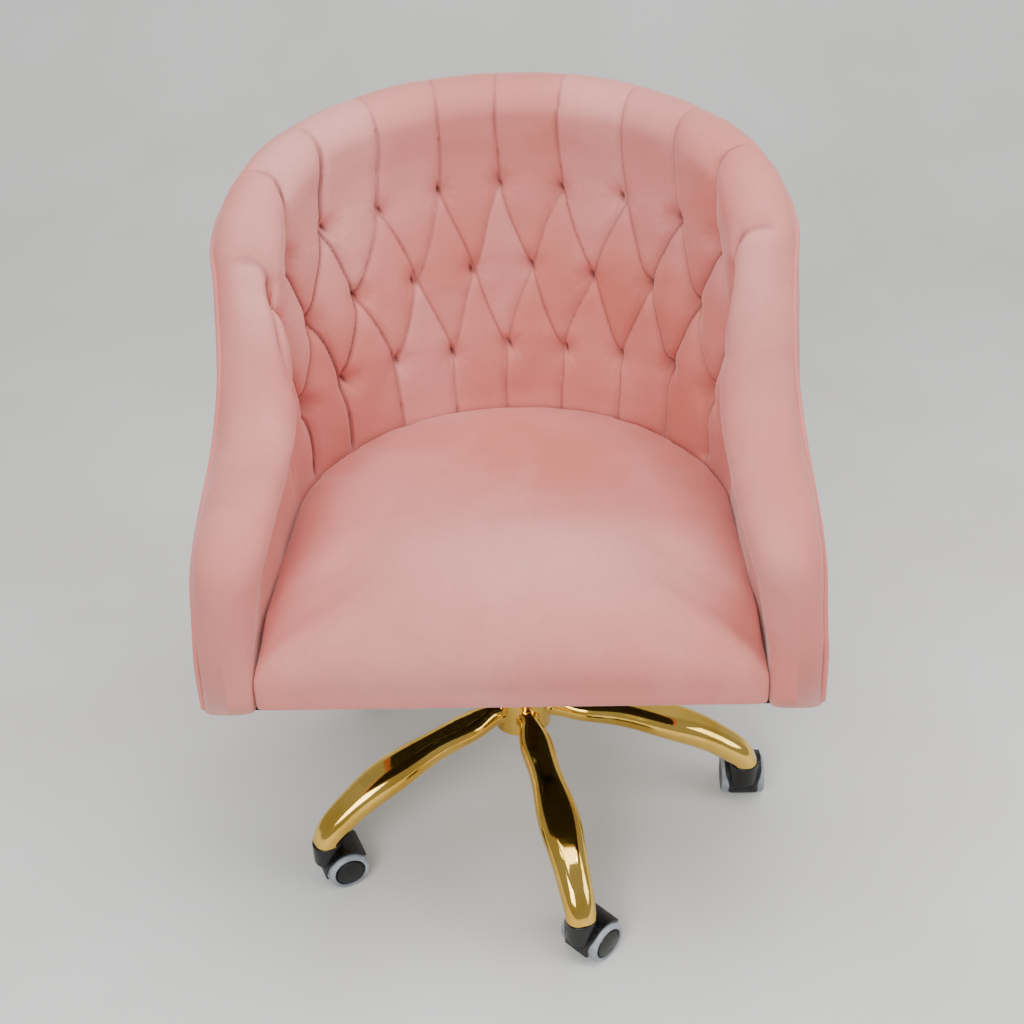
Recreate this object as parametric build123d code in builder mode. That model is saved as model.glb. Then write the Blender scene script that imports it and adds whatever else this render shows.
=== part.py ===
"""Tufted swivel chair: a buttonless-tufted tub seat on a gas lift and a five-star caster base.

Millimetres. The origin is on the floor under the column, the front of the seat faces -Y
and +Z is up.
"""
from build123d import *
import os
from math import cos, hypot, radians, sin

os.makedirs("parts", exist_ok=True)

# ---------------------------------------------------------------- driving dimensions
# five-star base
STEM_RADIUS = 280.0             # column axis to each caster stem
FIRST_LEG_ANGLE = 212.2         # from +X, the front left leg
LEG_COUNT = 5
HUB_RADIUS, HUB_BOTTOM, HUB_TOP = 36.0, 125.0, 185.0
LEG_END_Z = 65.0                # underside of each leg's tip

# casters
WHEEL_RADIUS = 25.0
TREAD_INNER_RADIUS = 19.5
WHEEL_INNER, WHEEL_OUTER = 10.0, 27.0     # wheel faces, from the caster's middle plane
CASTER_TRAIL = 17.5
AXLE_RADIUS = 3.0
STEM_PIN_RADIUS = 5.5
FENDER_INNER, FENDER_OUTER, FENDER_HALF_WIDTH = 26.3, 29.0, 23.0
CASTER_HEADINGS = (25.0, 46.0, 90.0, 5.0, 100.0)    # stem to wheel, from +X
RUNNING_FIT = 0.06              # radial clearance of what turns or slides

# gas lift
COLUMN_RADIUS, COLUMN_BORE = 25.0, 22.0
COLUMN_BOTTOM, COLUMN_TOP = 121.0, 262.0
CYLINDER_RADIUS, CYLINDER_BORE = 14.0, 11.5
CYLINDER_BOTTOM, CYLINDER_TOP = 182.0, 340.0
CYLINDER_TIP_RADIUS = 13.0      # top of the taper that wedges into the mechanism
SOCKET_BOTTOM = 312.0
ROD_RADIUS = 5.0
PIN_RADIUS, PIN_BOTTOM, PIN_TOP = 4.0, 310.0, 346.0

# seat mechanism
PLATE_X, PLATE_Y, PLATE_THICK = 200.0, 180.0, 3.0
PLATE_TOP = 366.5
PAN_X, PAN_Y, PAN_WALL, PAN_BOTTOM = 120.0, 90.0, 2.5, 326.0
SCREW_SPACING_X, SCREW_SPACING_Y = 160.0, 140.0
SCREW_RADIUS = 3.0
LEVER_PIVOT_X, LEVER_Z = -45.0, 349.0
LEVER_ROD_RADIUS = 4.0

# upholstery
DUST_COVER_THICK, DUST_COVER_INSET = 1.5, 10.0
SEAT_BOTTOM = PLATE_TOP + DUST_COVER_THICK
BOARD_THICK = 15.0
FRONT_Y = -263.0                # front faces of the arms and of the seat
OUTER_HALF_WIDTH, OUTER_DEPTH, OUTER_FRONT = 309.0, 271.0, 312.0
INNER_HALF_WIDTH, INNER_DEPTH, INNER_FRONT = 238.0, 196.0, 257.0
RIM_TOP = 869.0
RIM_ROUND = 26.0
COVER_THICK = 2.0
FRAME_OUT, FRAME_IN = 10.0, 22.0          # timber back frame, in from the outside cover
FRAME_DROP = 32.0                         # frame's top edge below the rim
WELT_WIDTH, WELT_PROUD = 6.0, 2.5
SEAT_CROWN, SEAT_EDGE_TOP, SEAT_BACK_TOP = 490.0, 458.0, 466.0

LEG_ANGLES = [FIRST_LEG_ANGLE + 360 / LEG_COUNT * i for i in range(LEG_COUNT)]
STEMS = [(STEM_RADIUS * cos(radians(a)), STEM_RADIUS * sin(radians(a))) for a in LEG_ANGLES]


def save(builder, name):
    """Labels a finished piece and writes its file."""
    builder.part.label = name
    export_step(builder.part, f"parts/{name}.step")


# ---------------------------------------------------------------- base
# centre line of a leg: (distance from the column, height, width, section height)
LEG_STATIONS = [
    (30, 149, 33, 27), (60, 147, 35, 28), (112, 141, 39, 30), (155, 133, 45, 32),
    (191, 123, 50, 34), (223, 110, 45, 35), (252, 93, 40, 34), (272, 77, 37, 32),
    (STEM_RADIUS, LEG_END_Z, 36, 31),
]
GROOVE_HALF_WIDTH = 5.0
CUT_Z = 60.0                    # a level below the whole leg
HUB_CUT = 20.0                  # how far past the hub its cut through the leg reaches


def leg_direction(i):
    """Direction of the leg's centre line at a station, in (out, up)."""
    if i == len(LEG_STATIONS) - 1:
        return 0.0, -1.0
    before, after = LEG_STATIONS[max(i - 1, 0)], LEG_STATIONS[i + 1]
    return after[0] - before[0], after[1] - before[1]


SOCKET_SLEEVE_RADIUS, SOCKET_DEPTH = 7.5, 13.0
SOCKET_FLANGE_RADIUS, SOCKET_FLANGE = 11.0, 1.2

# one leg, pointing along +X
with BuildPart() as leg_master:
    for i, (r, z, width, height) in enumerate(LEG_STATIONS):
        dr, dz = leg_direction(i)
        with BuildSketch(Plane(origin=(r, 0, z), x_dir=(0, 1, 0), z_dir=(dr, 0, dz))):
            RectangleRounded(width, height, 0.47 * min(width, height))
    loft()
    # the pressed leg is open underneath, between the hub and the bend
    with BuildSketch(Plane.XZ):
        with BuildLine():
            roof = Spline(*[(r, z) for r, z, _, _ in LEG_STATIONS[1:6]])
            Polyline(roof @ 1, ((roof @ 1).X, CUT_Z), ((roof @ 0).X, CUT_Z), roof @ 0)
        make_face()
    extrude(amount=GROOVE_HALF_WIDTH, both=True, mode=Mode.SUBTRACT)
    with BuildSketch(Plane(origin=(0, 0, HUB_BOTTOM - HUB_CUT), x_dir=(-1, 0, 0), z_dir=(0, 0, 1))):
        Circle(HUB_RADIUS)
    extrude(amount=HUB_TOP - HUB_BOTTOM + 2 * HUB_CUT, mode=Mode.SUBTRACT)
    with BuildSketch(Plane.XY.offset(LEG_END_Z)):
        with Locations((STEM_RADIUS, 0)):
            Circle(SOCKET_SLEEVE_RADIUS)
    extrude(amount=SOCKET_DEPTH, mode=Mode.SUBTRACT)

for number, angle in enumerate(LEG_ANGLES, start=1):
    with BuildPart() as leg:
        add(leg_master.part, rotation=(0, 0, angle))
    save(leg, f"leg_{number}")

with BuildPart() as base_hub:
    with BuildSketch(Plane.XY.offset(HUB_BOTTOM)):
        Circle(HUB_RADIUS)
    extrude(amount=HUB_TOP - HUB_BOTTOM)
    fillet(base_hub.edges().group_by(Axis.Z)[-1], 3)
    with BuildSketch(Plane.XY.offset(HUB_BOTTOM)):
        Circle(COLUMN_RADIUS)
    extrude(amount=HUB_TOP - HUB_BOTTOM, mode=Mode.SUBTRACT)
save(base_hub, "base_hub")

with BuildPart() as caster_sockets:
    with BuildSketch(Plane.XY.offset(LEG_END_Z - SOCKET_FLANGE)):
        with Locations(*STEMS):
            Circle(SOCKET_FLANGE_RADIUS)
            Circle(STEM_PIN_RADIUS, mode=Mode.SUBTRACT)
    extrude(amount=SOCKET_FLANGE)
    with BuildSketch(Plane.XY.offset(LEG_END_Z)):
        with Locations(*STEMS):
            Circle(SOCKET_SLEEVE_RADIUS)
            Circle(STEM_PIN_RADIUS, mode=Mode.SUBTRACT)
    extrude(amount=SOCKET_DEPTH)
save(caster_sockets, "caster_sockets")

STEM_BOTTOM = 36.0
with BuildPart() as caster_stems:
    with BuildSketch(Plane.XY.offset(STEM_BOTTOM)):
        with Locations(*STEMS):
            Circle(STEM_PIN_RADIUS)
    extrude(amount=LEG_END_Z + SOCKET_DEPTH - STEM_BOTTOM)
save(caster_stems, "caster_stems")

# ---------------------------------------------------------------- casters
AXLE_Z = WHEEL_RADIUS
WEB_HALF_WIDTH = WHEEL_INNER - 0.7
SHROUD_RADIUS, SHROUD_BOTTOM, BOSS_TOP = 18.0, 33.0, 63.3
SHROUD_ROUND = 2.0
WEB_EYE_RADIUS = 9.0            # of the web round the axle
HOOD_CORNER = 13.0              # plan radius of the fender's corners
HOOD_SKIRT_CORNER = 9.0         # and of its lower corners, seen from behind
AXLE_HALF_LENGTH = 25.0
FENDER_START, FENDER_ARC = 32.0, 166.0       # from the heading, over the top, to behind the stem
FENDER_LOW = AXLE_Z + FENDER_OUTER * sin(radians(FENDER_START + FENDER_ARC))
RIB_COUNT, RIB_RADIUS = 22, 0.7
CAP_RADIUS, CAP_BULGE = 16.5, 1.6

# each master caster stands with its stem on the origin and rolls along +X
MIDDLE = Plane(origin=(CASTER_TRAIL, 0, AXLE_Z), x_dir=(1, 0, 0), z_dir=(0, -1, 0))

# round shroud about the stem, above the wheels and behind them
with BuildPart() as shroud:
    with BuildSketch(Plane.XY.offset(SHROUD_BOTTOM)):
        Circle(SHROUD_RADIUS)
    extrude(amount=BOSS_TOP - SHROUD_BOTTOM)
    fillet(shroud.edges(), SHROUD_ROUND)
    for side in (-1, 1):
        with BuildSketch(MIDDLE.offset(side * WEB_HALF_WIDTH)):
            Circle(FENDER_INNER)
        extrude(amount=side * WHEEL_OUTER, mode=Mode.SUBTRACT)

with BuildPart() as hood_master:
    # ribbed fender over both wheels
    with BuildSketch(MIDDLE):
        with BuildLine():
            start = PolarLine((0, 0), FENDER_OUTER, FENDER_START)
            CenterArc((0, 0), FENDER_OUTER, FENDER_START, FENDER_ARC)
            PolarLine((0, 0), FENDER_OUTER, FENDER_START + FENDER_ARC)
        make_face()
        with PolarLocations(FENDER_OUTER, 2 * RIB_COUNT):
            Circle(RIB_RADIUS, mode=Mode.SUBTRACT)
        Circle(FENDER_INNER, mode=Mode.SUBTRACT)
    extrude(amount=FENDER_HALF_WIDTH, both=True)
    # its corners are rounded, seen from above and from behind
    with BuildSketch(Plane.XY):
        with Locations((CASTER_TRAIL, 0)):
            RectangleRounded(2 * FENDER_OUTER, 2 * FENDER_HALF_WIDTH, HOOD_CORNER)
    extrude(amount=BOSS_TOP, mode=Mode.INTERSECT)
    with BuildSketch(Plane.YZ.offset(CASTER_TRAIL - FENDER_OUTER)):
        with Locations((0, FENDER_LOW + BOSS_TOP / 2)):
            RectangleRounded(2 * FENDER_HALF_WIDTH, BOSS_TOP, HOOD_SKIRT_CORNER)
    extrude(amount=2 * FENDER_OUTER, mode=Mode.INTERSECT)
    # web between the wheels
    with BuildSketch(MIDDLE):
        with BuildLine():
            PolarLine((0, 0), FENDER_INNER + 1, FENDER_START)
            CenterArc((0, 0), FENDER_INNER + 1, FENDER_START, FENDER_ARC)
            PolarLine((0, 0), FENDER_INNER + 1, FENDER_START + FENDER_ARC)
        make_face()
        Circle(WEB_EYE_RADIUS)
    extrude(amount=WEB_HALF_WIDTH, both=True)
    add(shroud.part)
    with BuildSketch(Plane.XY.offset(STEM_BOTTOM - 0.5)):
        Circle(STEM_PIN_RADIUS + RUNNING_FIT)
    extrude(amount=BOSS_TOP, mode=Mode.SUBTRACT)
    with BuildSketch(MIDDLE):
        Circle(AXLE_RADIUS)
    extrude(amount=WHEEL_OUTER, both=True, mode=Mode.SUBTRACT)

with BuildPart() as axle_master:
    with BuildSketch(MIDDLE):
        Circle(AXLE_RADIUS)
    extrude(amount=AXLE_HALF_LENGTH, both=True)

# half-sections of the right wheel: along the axle, and up from it
HALF_SECTION = Plane(origin=MIDDLE.origin, x_dir=(0, -1, 0), z_dir=(-1, 0, 0))
SPIN_AXIS = Axis(MIDDLE.origin, (0, 1, 0))

with BuildPart() as core_master:
    with BuildSketch(HALF_SECTION):
        with BuildLine():
            Polyline(
                (WHEEL_INNER, 0), (WHEEL_INNER, TREAD_INNER_RADIUS - 1),
                (WHEEL_INNER + 1, TREAD_INNER_RADIUS), (WHEEL_OUTER - 2, TREAD_INNER_RADIUS),
                (WHEEL_OUTER - 2, CAP_RADIUS + 1), (WHEEL_OUTER, CAP_RADIUS),
            )
            TangentArc((WHEEL_OUTER + CAP_BULGE, 0), (WHEEL_OUTER, CAP_RADIUS), tangent=(0, 1))
            Line((WHEEL_OUTER + CAP_BULGE, 0), (WHEEL_INNER, 0))
        make_face()
    revolve(axis=SPIN_AXIS)
    with BuildSketch(MIDDLE):
        Circle(AXLE_RADIUS + RUNNING_FIT)
    extrude(amount=AXLE_HALF_LENGTH + 0.3, mode=Mode.SUBTRACT)

with BuildPart() as tread_master:
    with BuildSketch(HALF_SECTION):
        with BuildLine():
            Polyline(
                (WHEEL_INNER + 1, TREAD_INNER_RADIUS), (WHEEL_INNER + 1, WHEEL_RADIUS - 1.5),
                (WHEEL_INNER + 2.5, WHEEL_RADIUS), (WHEEL_OUTER - 4, WHEEL_RADIUS),
            )
            ThreePointArc(
                (WHEEL_OUTER - 4, WHEEL_RADIUS), (WHEEL_OUTER - 1.2, WHEEL_RADIUS - 1.2),
                (WHEEL_OUTER, WHEEL_RADIUS - 4),
            )
            Polyline(
                (WHEEL_OUTER, WHEEL_RADIUS - 4), (WHEEL_OUTER, TREAD_INNER_RADIUS),
                (WHEEL_INNER + 1, TREAD_INNER_RADIUS),
            )
        make_face()
    revolve(axis=SPIN_AXIS)


def save_at_stem(master, stem, heading, name, mirrored=False):
    """Writes a copy of a master caster piece, turned to its heading and set under its stem."""
    shape = master.part.mirror(Plane.XZ) if mirrored else master.part
    with BuildPart() as piece:
        with Locations(stem):
            add(shape, rotation=(0, 0, heading))
    save(piece, name)


for number, (stem, heading) in enumerate(zip(STEMS, CASTER_HEADINGS), start=1):
    caster = f"caster_{number}"
    save_at_stem(hood_master, stem, heading, f"{caster}_hood")
    save_at_stem(axle_master, stem, heading, f"{caster}_axle")
    save_at_stem(core_master, stem, heading, f"{caster}_right_core")
    save_at_stem(tread_master, stem, heading, f"{caster}_right_tread")
    save_at_stem(core_master, stem, heading, f"{caster}_left_core", mirrored=True)
    save_at_stem(tread_master, stem, heading, f"{caster}_left_tread", mirrored=True)

# ---------------------------------------------------------------- gas lift
COLUMN_FLOOR = 3.0              # thickness of the column's closed bottom
BEARING_TOP = 133.0
BUSH_BOTTOM = 196.0
ROD_BOTTOM = 115.0
PISTON_BOTTOM, PISTON_TOP = 228.0, 236.0
BEARING_RADIUS = 13.0
SHOULDER_RADIUS, SHOULDER_THICK = 8.0, 3.0     # the rod's shoulder rests on the bearing
CLIP_RADIUS, CLIP_THICK = 9.0, 2.0
CYLINDER_FLOOR = 5.0
GAS_TOP = PIN_BOTTOM - 14.0                    # top of the cylinder's bore
PIN_GUIDE_BOTTOM = PIN_BOTTOM - 8.0

with BuildPart() as column_tube:
    with BuildSketch(Plane.XY.offset(COLUMN_BOTTOM)):
        Circle(COLUMN_RADIUS)
    extrude(amount=COLUMN_TOP - COLUMN_BOTTOM)
    fillet(column_tube.edges().group_by(Axis.Z)[-1], 1.5)
    with BuildSketch(Plane.XY.offset(COLUMN_BOTTOM + COLUMN_FLOOR)):
        Circle(COLUMN_BORE)
    extrude(amount=COLUMN_TOP, mode=Mode.SUBTRACT)
    Hole(ROD_RADIUS + RUNNING_FIT)
save(column_tube, "column_tube")

with BuildPart() as column_guide_bush:
    with BuildSketch(Plane.XY.offset(BUSH_BOTTOM)):
        Circle(COLUMN_BORE)
        Circle(CYLINDER_RADIUS + RUNNING_FIT, mode=Mode.SUBTRACT)
    extrude(amount=COLUMN_TOP - BUSH_BOTTOM)
save(column_guide_bush, "column_guide_bush")

with BuildPart() as thrust_bearing:
    with BuildSketch(Plane.XY.offset(COLUMN_BOTTOM + COLUMN_FLOOR)):
        Circle(BEARING_RADIUS)
        Circle(ROD_RADIUS + RUNNING_FIT, mode=Mode.SUBTRACT)
    extrude(amount=BEARING_TOP - COLUMN_BOTTOM - COLUMN_FLOOR)
save(thrust_bearing, "thrust_bearing")

with BuildPart() as piston_rod:
    with BuildSketch(Plane.XY.offset(ROD_BOTTOM)):
        Circle(ROD_RADIUS)
    extrude(amount=PISTON_TOP - ROD_BOTTOM)
    with BuildSketch(Plane.XY.offset(BEARING_TOP + 0.4)):
        Circle(SHOULDER_RADIUS)
    extrude(amount=SHOULDER_THICK)
    with BuildSketch(Plane.XY.offset(PISTON_BOTTOM)):
        Circle(CYLINDER_BORE - RUNNING_FIT)
    extrude(amount=PISTON_TOP - PISTON_BOTTOM)
save(piston_rod, "piston_rod")

with BuildPart() as rod_clip:
    with BuildSketch(Plane.XY.offset(COLUMN_BOTTOM - CLIP_THICK - 0.5)):
        Circle(CLIP_RADIUS)
        Circle(ROD_RADIUS, mode=Mode.SUBTRACT)
    extrude(amount=CLIP_THICK)
save(rod_clip, "rod_clip")

with BuildPart() as gas_cylinder:
    with BuildSketch(Plane.XZ):
        with BuildLine():
            Polyline(
                (0, CYLINDER_BOTTOM), (CYLINDER_RADIUS, CYLINDER_BOTTOM),
                (CYLINDER_RADIUS, SOCKET_BOTTOM), (CYLINDER_TIP_RADIUS, CYLINDER_TOP),
                (0, CYLINDER_TOP), close=True,
            )
        make_face()
    revolve(axis=Axis.Z)
    with BuildSketch(Plane.XY.offset(CYLINDER_BOTTOM)):
        Circle(ROD_RADIUS + RUNNING_FIT)
    extrude(amount=CYLINDER_FLOOR, mode=Mode.SUBTRACT)
    with BuildSketch(Plane.XY.offset(CYLINDER_BOTTOM + CYLINDER_FLOOR)):
        Circle(CYLINDER_BORE)
    extrude(amount=GAS_TOP - CYLINDER_BOTTOM - CYLINDER_FLOOR, mode=Mode.SUBTRACT)
    with BuildSketch(Plane.XY.offset(PIN_GUIDE_BOTTOM)):
        Circle(PIN_RADIUS + RUNNING_FIT)
    extrude(amount=CYLINDER_TOP - PIN_GUIDE_BOTTOM, mode=Mode.SUBTRACT)
save(gas_cylinder, "gas_cylinder")

with BuildPart() as release_pin:
    with BuildSketch(Plane.XY.offset(PIN_BOTTOM)):
        Circle(PIN_RADIUS)
    extrude(amount=PIN_TOP - PIN_BOTTOM)
    fillet(release_pin.edges().group_by(Axis.Z)[-1], 1)
save(release_pin, "release_pin")

# ---------------------------------------------------------------- seat mechanism
SOCKET_TUBE_RADIUS = 19.0
PLATE_BOTTOM = PLATE_TOP - PLATE_THICK
LEVER_SLOT_HALF_WIDTH, LEVER_SLOT_BOTTOM = 7.0, 342.0
PIVOT_RADIUS = 3.0
TONGUE_CLEARANCE, TONGUE_WIDTH, TONGUE_THICK = 0.4, 11.0, 3.6
TONGUE_REACH = 7.0              # how far the tongue passes the release pin's axis
EYE_RADIUS = 7.0
EAR_Y, EAR_THICK, EAR_WIDTH, EAR_DROP = 10.0, 3.0, 14.0, 6.0
SCREW_HOLE_RADIUS = SCREW_RADIUS + 0.2

with BuildPart() as mechanism_plate:
    with BuildSketch(Plane.XY.offset(PLATE_BOTTOM)):
        RectangleRounded(PLATE_X, PLATE_Y, 12)
        with GridLocations(SCREW_SPACING_X, SCREW_SPACING_Y, 2, 2):
            Circle(SCREW_HOLE_RADIUS, mode=Mode.SUBTRACT)
    extrude(amount=PLATE_THICK)
    with BuildSketch(Plane.XY.offset(PAN_BOTTOM)):
        RectangleRounded(PAN_X, PAN_Y, 8)
        RectangleRounded(PAN_X - 2 * PAN_WALL, PAN_Y - 2 * PAN_WALL, 8 - PAN_WALL, mode=Mode.SUBTRACT)
    extrude(amount=PLATE_BOTTOM - PAN_BOTTOM)
    with BuildSketch(Plane.XY.offset(PAN_BOTTOM)):
        RectangleRounded(PAN_X, PAN_Y, 8)
    extrude(amount=PAN_WALL)
    with BuildSketch(Plane.XY.offset(SOCKET_BOTTOM)):
        Circle(SOCKET_TUBE_RADIUS)
    extrude(amount=CYLINDER_TOP - SOCKET_BOTTOM)
    # tapered socket for the gas cylinder
    with BuildSketch(Plane.XZ):
        with BuildLine():
            Polyline(
                (0, SOCKET_BOTTOM), (CYLINDER_RADIUS, SOCKET_BOTTOM),
                (CYLINDER_TIP_RADIUS, CYLINDER_TOP), (0, CYLINDER_TOP), close=True,
            )
        make_face()
    revolve(axis=Axis.Z, mode=Mode.SUBTRACT)
    # slot for the lever in the pan's side wall
    with BuildSketch(Plane.XY.offset(LEVER_SLOT_BOTTOM)):
        with Locations((-PAN_X / 2, 0)):
            Rectangle(4 * PAN_WALL, 2 * LEVER_SLOT_HALF_WIDTH)
    extrude(amount=PLATE_BOTTOM - LEVER_SLOT_BOTTOM, mode=Mode.SUBTRACT)
    # two ears that hold the lever's pivot pin, and the pin
    with BuildSketch(Plane.XZ.offset(-EAR_Y)):
        with Locations((LEVER_PIVOT_X, (LEVER_Z + PLATE_BOTTOM - EAR_DROP) / 2)):
            Rectangle(EAR_WIDTH, PLATE_BOTTOM - LEVER_Z + EAR_DROP)
    extrude(amount=EAR_THICK)
    mirror(about=Plane.XZ)
    with BuildSketch(Plane.XZ.offset(-EAR_Y)):
        with Locations((LEVER_PIVOT_X, LEVER_Z)):
            Circle(PIVOT_RADIUS)
    extrude(amount=2 * EAR_Y)
save(mechanism_plate, "mechanism_plate")

TONGUE_BOTTOM = PIN_TOP + TONGUE_CLEARANCE
LEVER_DROP = 14.0               # how far the handle end sits below the pivot
LEVER_BEND = 40.0
GRIP_START, GRIP_MIDDLE, GRIP_END = -185.0, -215.0, -246.0
GRIP_THICK, GRIP_COVER = 12.0, 8.0    # and how much of the grip is solid past the rod

with BuildPart() as lift_lever:
    with BuildLine():
        FilletPolyline(
            (LEVER_PIVOT_X - 6, 0, LEVER_Z), (-90, 0, LEVER_Z), (-150, 0, LEVER_Z - LEVER_DROP),
            (GRIP_END + GRIP_COVER, 0, LEVER_Z - LEVER_DROP), radius=LEVER_BEND,
        )
    with BuildSketch(Plane(origin=(LEVER_PIVOT_X - 6, 0, LEVER_Z), z_dir=(-1, 0, 0))):
        Circle(LEVER_ROD_RADIUS)
    sweep()
    # flat tongue over the release pin, and the eye round the pivot
    with BuildSketch(Plane.XY.offset(TONGUE_BOTTOM)):
        with Locations(((LEVER_PIVOT_X + TONGUE_REACH) / 2, 0)):
            RectangleRounded(TONGUE_REACH - LEVER_PIVOT_X, TONGUE_WIDTH, 0.45 * TONGUE_WIDTH)
    extrude(amount=TONGUE_THICK)
    with BuildSketch(Plane.XZ.offset(-TONGUE_WIDTH / 2)):
        with Locations((LEVER_PIVOT_X, LEVER_Z)):
            Circle(EYE_RADIUS)
    extrude(amount=TONGUE_WIDTH)
    with BuildSketch(Plane.XZ.offset(-TONGUE_WIDTH / 2)):
        with Locations((LEVER_PIVOT_X, LEVER_Z)):
            Circle(PIVOT_RADIUS + RUNNING_FIT)
    extrude(amount=TONGUE_WIDTH, mode=Mode.SUBTRACT)
save(lift_lever, "lift_lever")

with BuildPart() as lever_grip:
    with BuildSketch(Plane.XY.offset(LEVER_Z - LEVER_DROP - GRIP_THICK / 2)):
        with BuildLine():
            Spline((GRIP_START, -6), (GRIP_MIDDLE, -13), (GRIP_END, -11), tangents=[(-1, 0), (-1, 0.2)])
            Line((GRIP_END, -11), (GRIP_END, 11))
            Spline((GRIP_END, 11), (GRIP_MIDDLE, 13), (GRIP_START, 6), tangents=[(1, 0.2), (1, 0)])
            Line((GRIP_START, 6), (GRIP_START, -6))
        make_face()
    extrude(amount=GRIP_THICK)
    fillet(lever_grip.edges().filter_by(Axis.Z), 3)
    fillet(lever_grip.edges().group_by(Axis.Z)[-1], 2.5)
    fillet(lever_grip.edges().group_by(Axis.Z)[0], 2.5)
    with BuildSketch(Plane(origin=(GRIP_START, 0, LEVER_Z - LEVER_DROP), z_dir=(-1, 0, 0))):
        Circle(LEVER_ROD_RADIUS)
    extrude(amount=GRIP_START - GRIP_END - GRIP_COVER, mode=Mode.SUBTRACT)
save(lever_grip, "lever_grip")

SCREW_HEAD_RADIUS, SCREW_HEAD, SCREW_KEY_RADIUS = 6.0, 4.0, 2.9
TEE_NUT_RADIUS, TEE_FLANGE_RADIUS, TEE_FLANGE = 4.2, 9.0, 1.5

BOARD_TOP = SEAT_BOTTOM + BOARD_THICK
TEE_NUT_BOTTOM = SEAT_BOTTOM + 4

with BuildPart() as mechanism_screws:
    with BuildSketch(Plane.XY.offset(PLATE_BOTTOM - SCREW_HEAD)):
        with GridLocations(SCREW_SPACING_X, SCREW_SPACING_Y, 2, 2):
            Circle(SCREW_HEAD_RADIUS)
            RegularPolygon(SCREW_KEY_RADIUS, 6, mode=Mode.SUBTRACT)
    extrude(amount=SCREW_HEAD)
    with BuildSketch(Plane.XY.offset(PLATE_BOTTOM - 1)):
        with GridLocations(SCREW_SPACING_X, SCREW_SPACING_Y, 2, 2):
            Circle(SCREW_RADIUS)
    extrude(amount=BOARD_TOP - PLATE_BOTTOM + 1)
save(mechanism_screws, "mechanism_screws")

with BuildPart() as tee_nuts:
    with BuildSketch(Plane.XY.offset(TEE_NUT_BOTTOM)):
        with GridLocations(SCREW_SPACING_X, SCREW_SPACING_Y, 2, 2):
            Circle(TEE_NUT_RADIUS)
    extrude(amount=BOARD_TOP - TEE_NUT_BOTTOM)
    with BuildSketch(Plane.XY.offset(BOARD_TOP - TEE_FLANGE)):
        with GridLocations(SCREW_SPACING_X, SCREW_SPACING_Y, 2, 2):
            Circle(TEE_FLANGE_RADIUS)
    extrude(amount=TEE_FLANGE)
    with BuildSketch(Plane.XY.offset(TEE_NUT_BOTTOM)):
        with GridLocations(SCREW_SPACING_X, SCREW_SPACING_Y, 2, 2):
            Circle(SCREW_RADIUS)
    extrude(amount=BOARD_THICK, mode=Mode.SUBTRACT)
save(tee_nuts, "tee_nuts")


# ---------------------------------------------------------------- upholstered tub
SIDE = Plane(origin=(0, 0, 0), x_dir=(0, 1, 0), z_dir=(1, 0, 0))    # its axes are Y and Z
ROLL_RADIUS = 35.0              # of the rim's roll, seen from the side
BOARD_FRONT_Y = FRONT_Y + 13
# the sides of every outer and inner plan run on to these before they are cut, so that they agree
OUTER_PLAN_FRONT_Y, INNER_PLAN_FRONT_Y = FRONT_Y - 20, FRONT_Y - 30
PROFILE_BOTTOM = SEAT_BOTTOM - 60
CUT_HEIGHT = RIM_TOP            # more than enough to cut through the tub
CUT_WIDTH = 400.0

# rim of the tub seen from the side: (Y, Z) from the back's roll down to the front of the arm
RIM_CURVE = [
    (OUTER_DEPTH - ROLL_RADIUS, RIM_TOP), (152, 853), (81, 831), (41, 811), (10, 783), (-30, 703),
    (-75, 632), (-120, 606), (-210, 579), (FRONT_Y, 530),
]
# the welt's seam: under the roll, then down the outer edge of the arm's front face
SEAM_CURVE = [(y, z - RIM_ROUND - 6) for y, z in RIM_CURVE[:-1]] + [(FRONT_Y + 6, 492)]


def tub_plan(half_width, depth, front_half_width, front_y, cut_y, z):
    """Plan of the tub at height z: half an ellipse behind, gently flared sides, cut at its front."""
    with BuildSketch(Plane.XY.offset(z)) as plan:
        with BuildLine():
            EllipticalCenterArc((0, 0), half_width, depth, start_angle=0, arc_size=180)
            Spline((-half_width, 0), (-front_half_width, front_y), tangents=[(0, -1), (0, -1)])
            Line((-front_half_width, front_y), (front_half_width, front_y))
            Spline((front_half_width, front_y), (half_width, 0), tangents=[(0, 1), (0, 1)])
        make_face()
        if cut_y > front_y:
            with Locations((0, cut_y)):
                Rectangle(
                    2 * CUT_WIDTH, 2 * CUT_WIDTH, align=(Align.CENTER, Align.MIN), mode=Mode.INTERSECT
                )
    return plan.sketch


def outer_plan(inset, cut_y=FRONT_Y, z=SEAT_BOTTOM):
    """Plan of the tub's outside, inset from the outside cover."""
    return tub_plan(
        OUTER_HALF_WIDTH - inset, OUTER_DEPTH - inset, OUTER_FRONT - inset, OUTER_PLAN_FRONT_Y, cut_y, z
    )


def inner_plan(inset):
    """Plan of the space between the arms, inset into the wall."""
    return tub_plan(
        INNER_HALF_WIDTH + inset, INNER_DEPTH + inset, INNER_FRONT + inset,
        INNER_PLAN_FRONT_Y, INNER_PLAN_FRONT_Y, SEAT_BOTTOM,
    )


def inset_curve(curve, distance):
    """The points of a curve that runs from the back to the front, moved into the tub."""
    moved = []
    for i, (y, z) in enumerate(curve):
        run_y = curve[min(i + 1, len(curve) - 1)][0] - curve[max(i - 1, 0)][0]
        run_z = curve[min(i + 1, len(curve) - 1)][1] - curve[max(i - 1, 0)][1]
        if i == 0:
            run_y, run_z = -1.0, 0.0
        if i == len(curve) - 1:
            run_y, run_z = 0.0, -1.0
        run = hypot(run_y, run_z)
        moved.append((y - distance * run_z / run, z + distance * run_y / run))
    return moved


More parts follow.
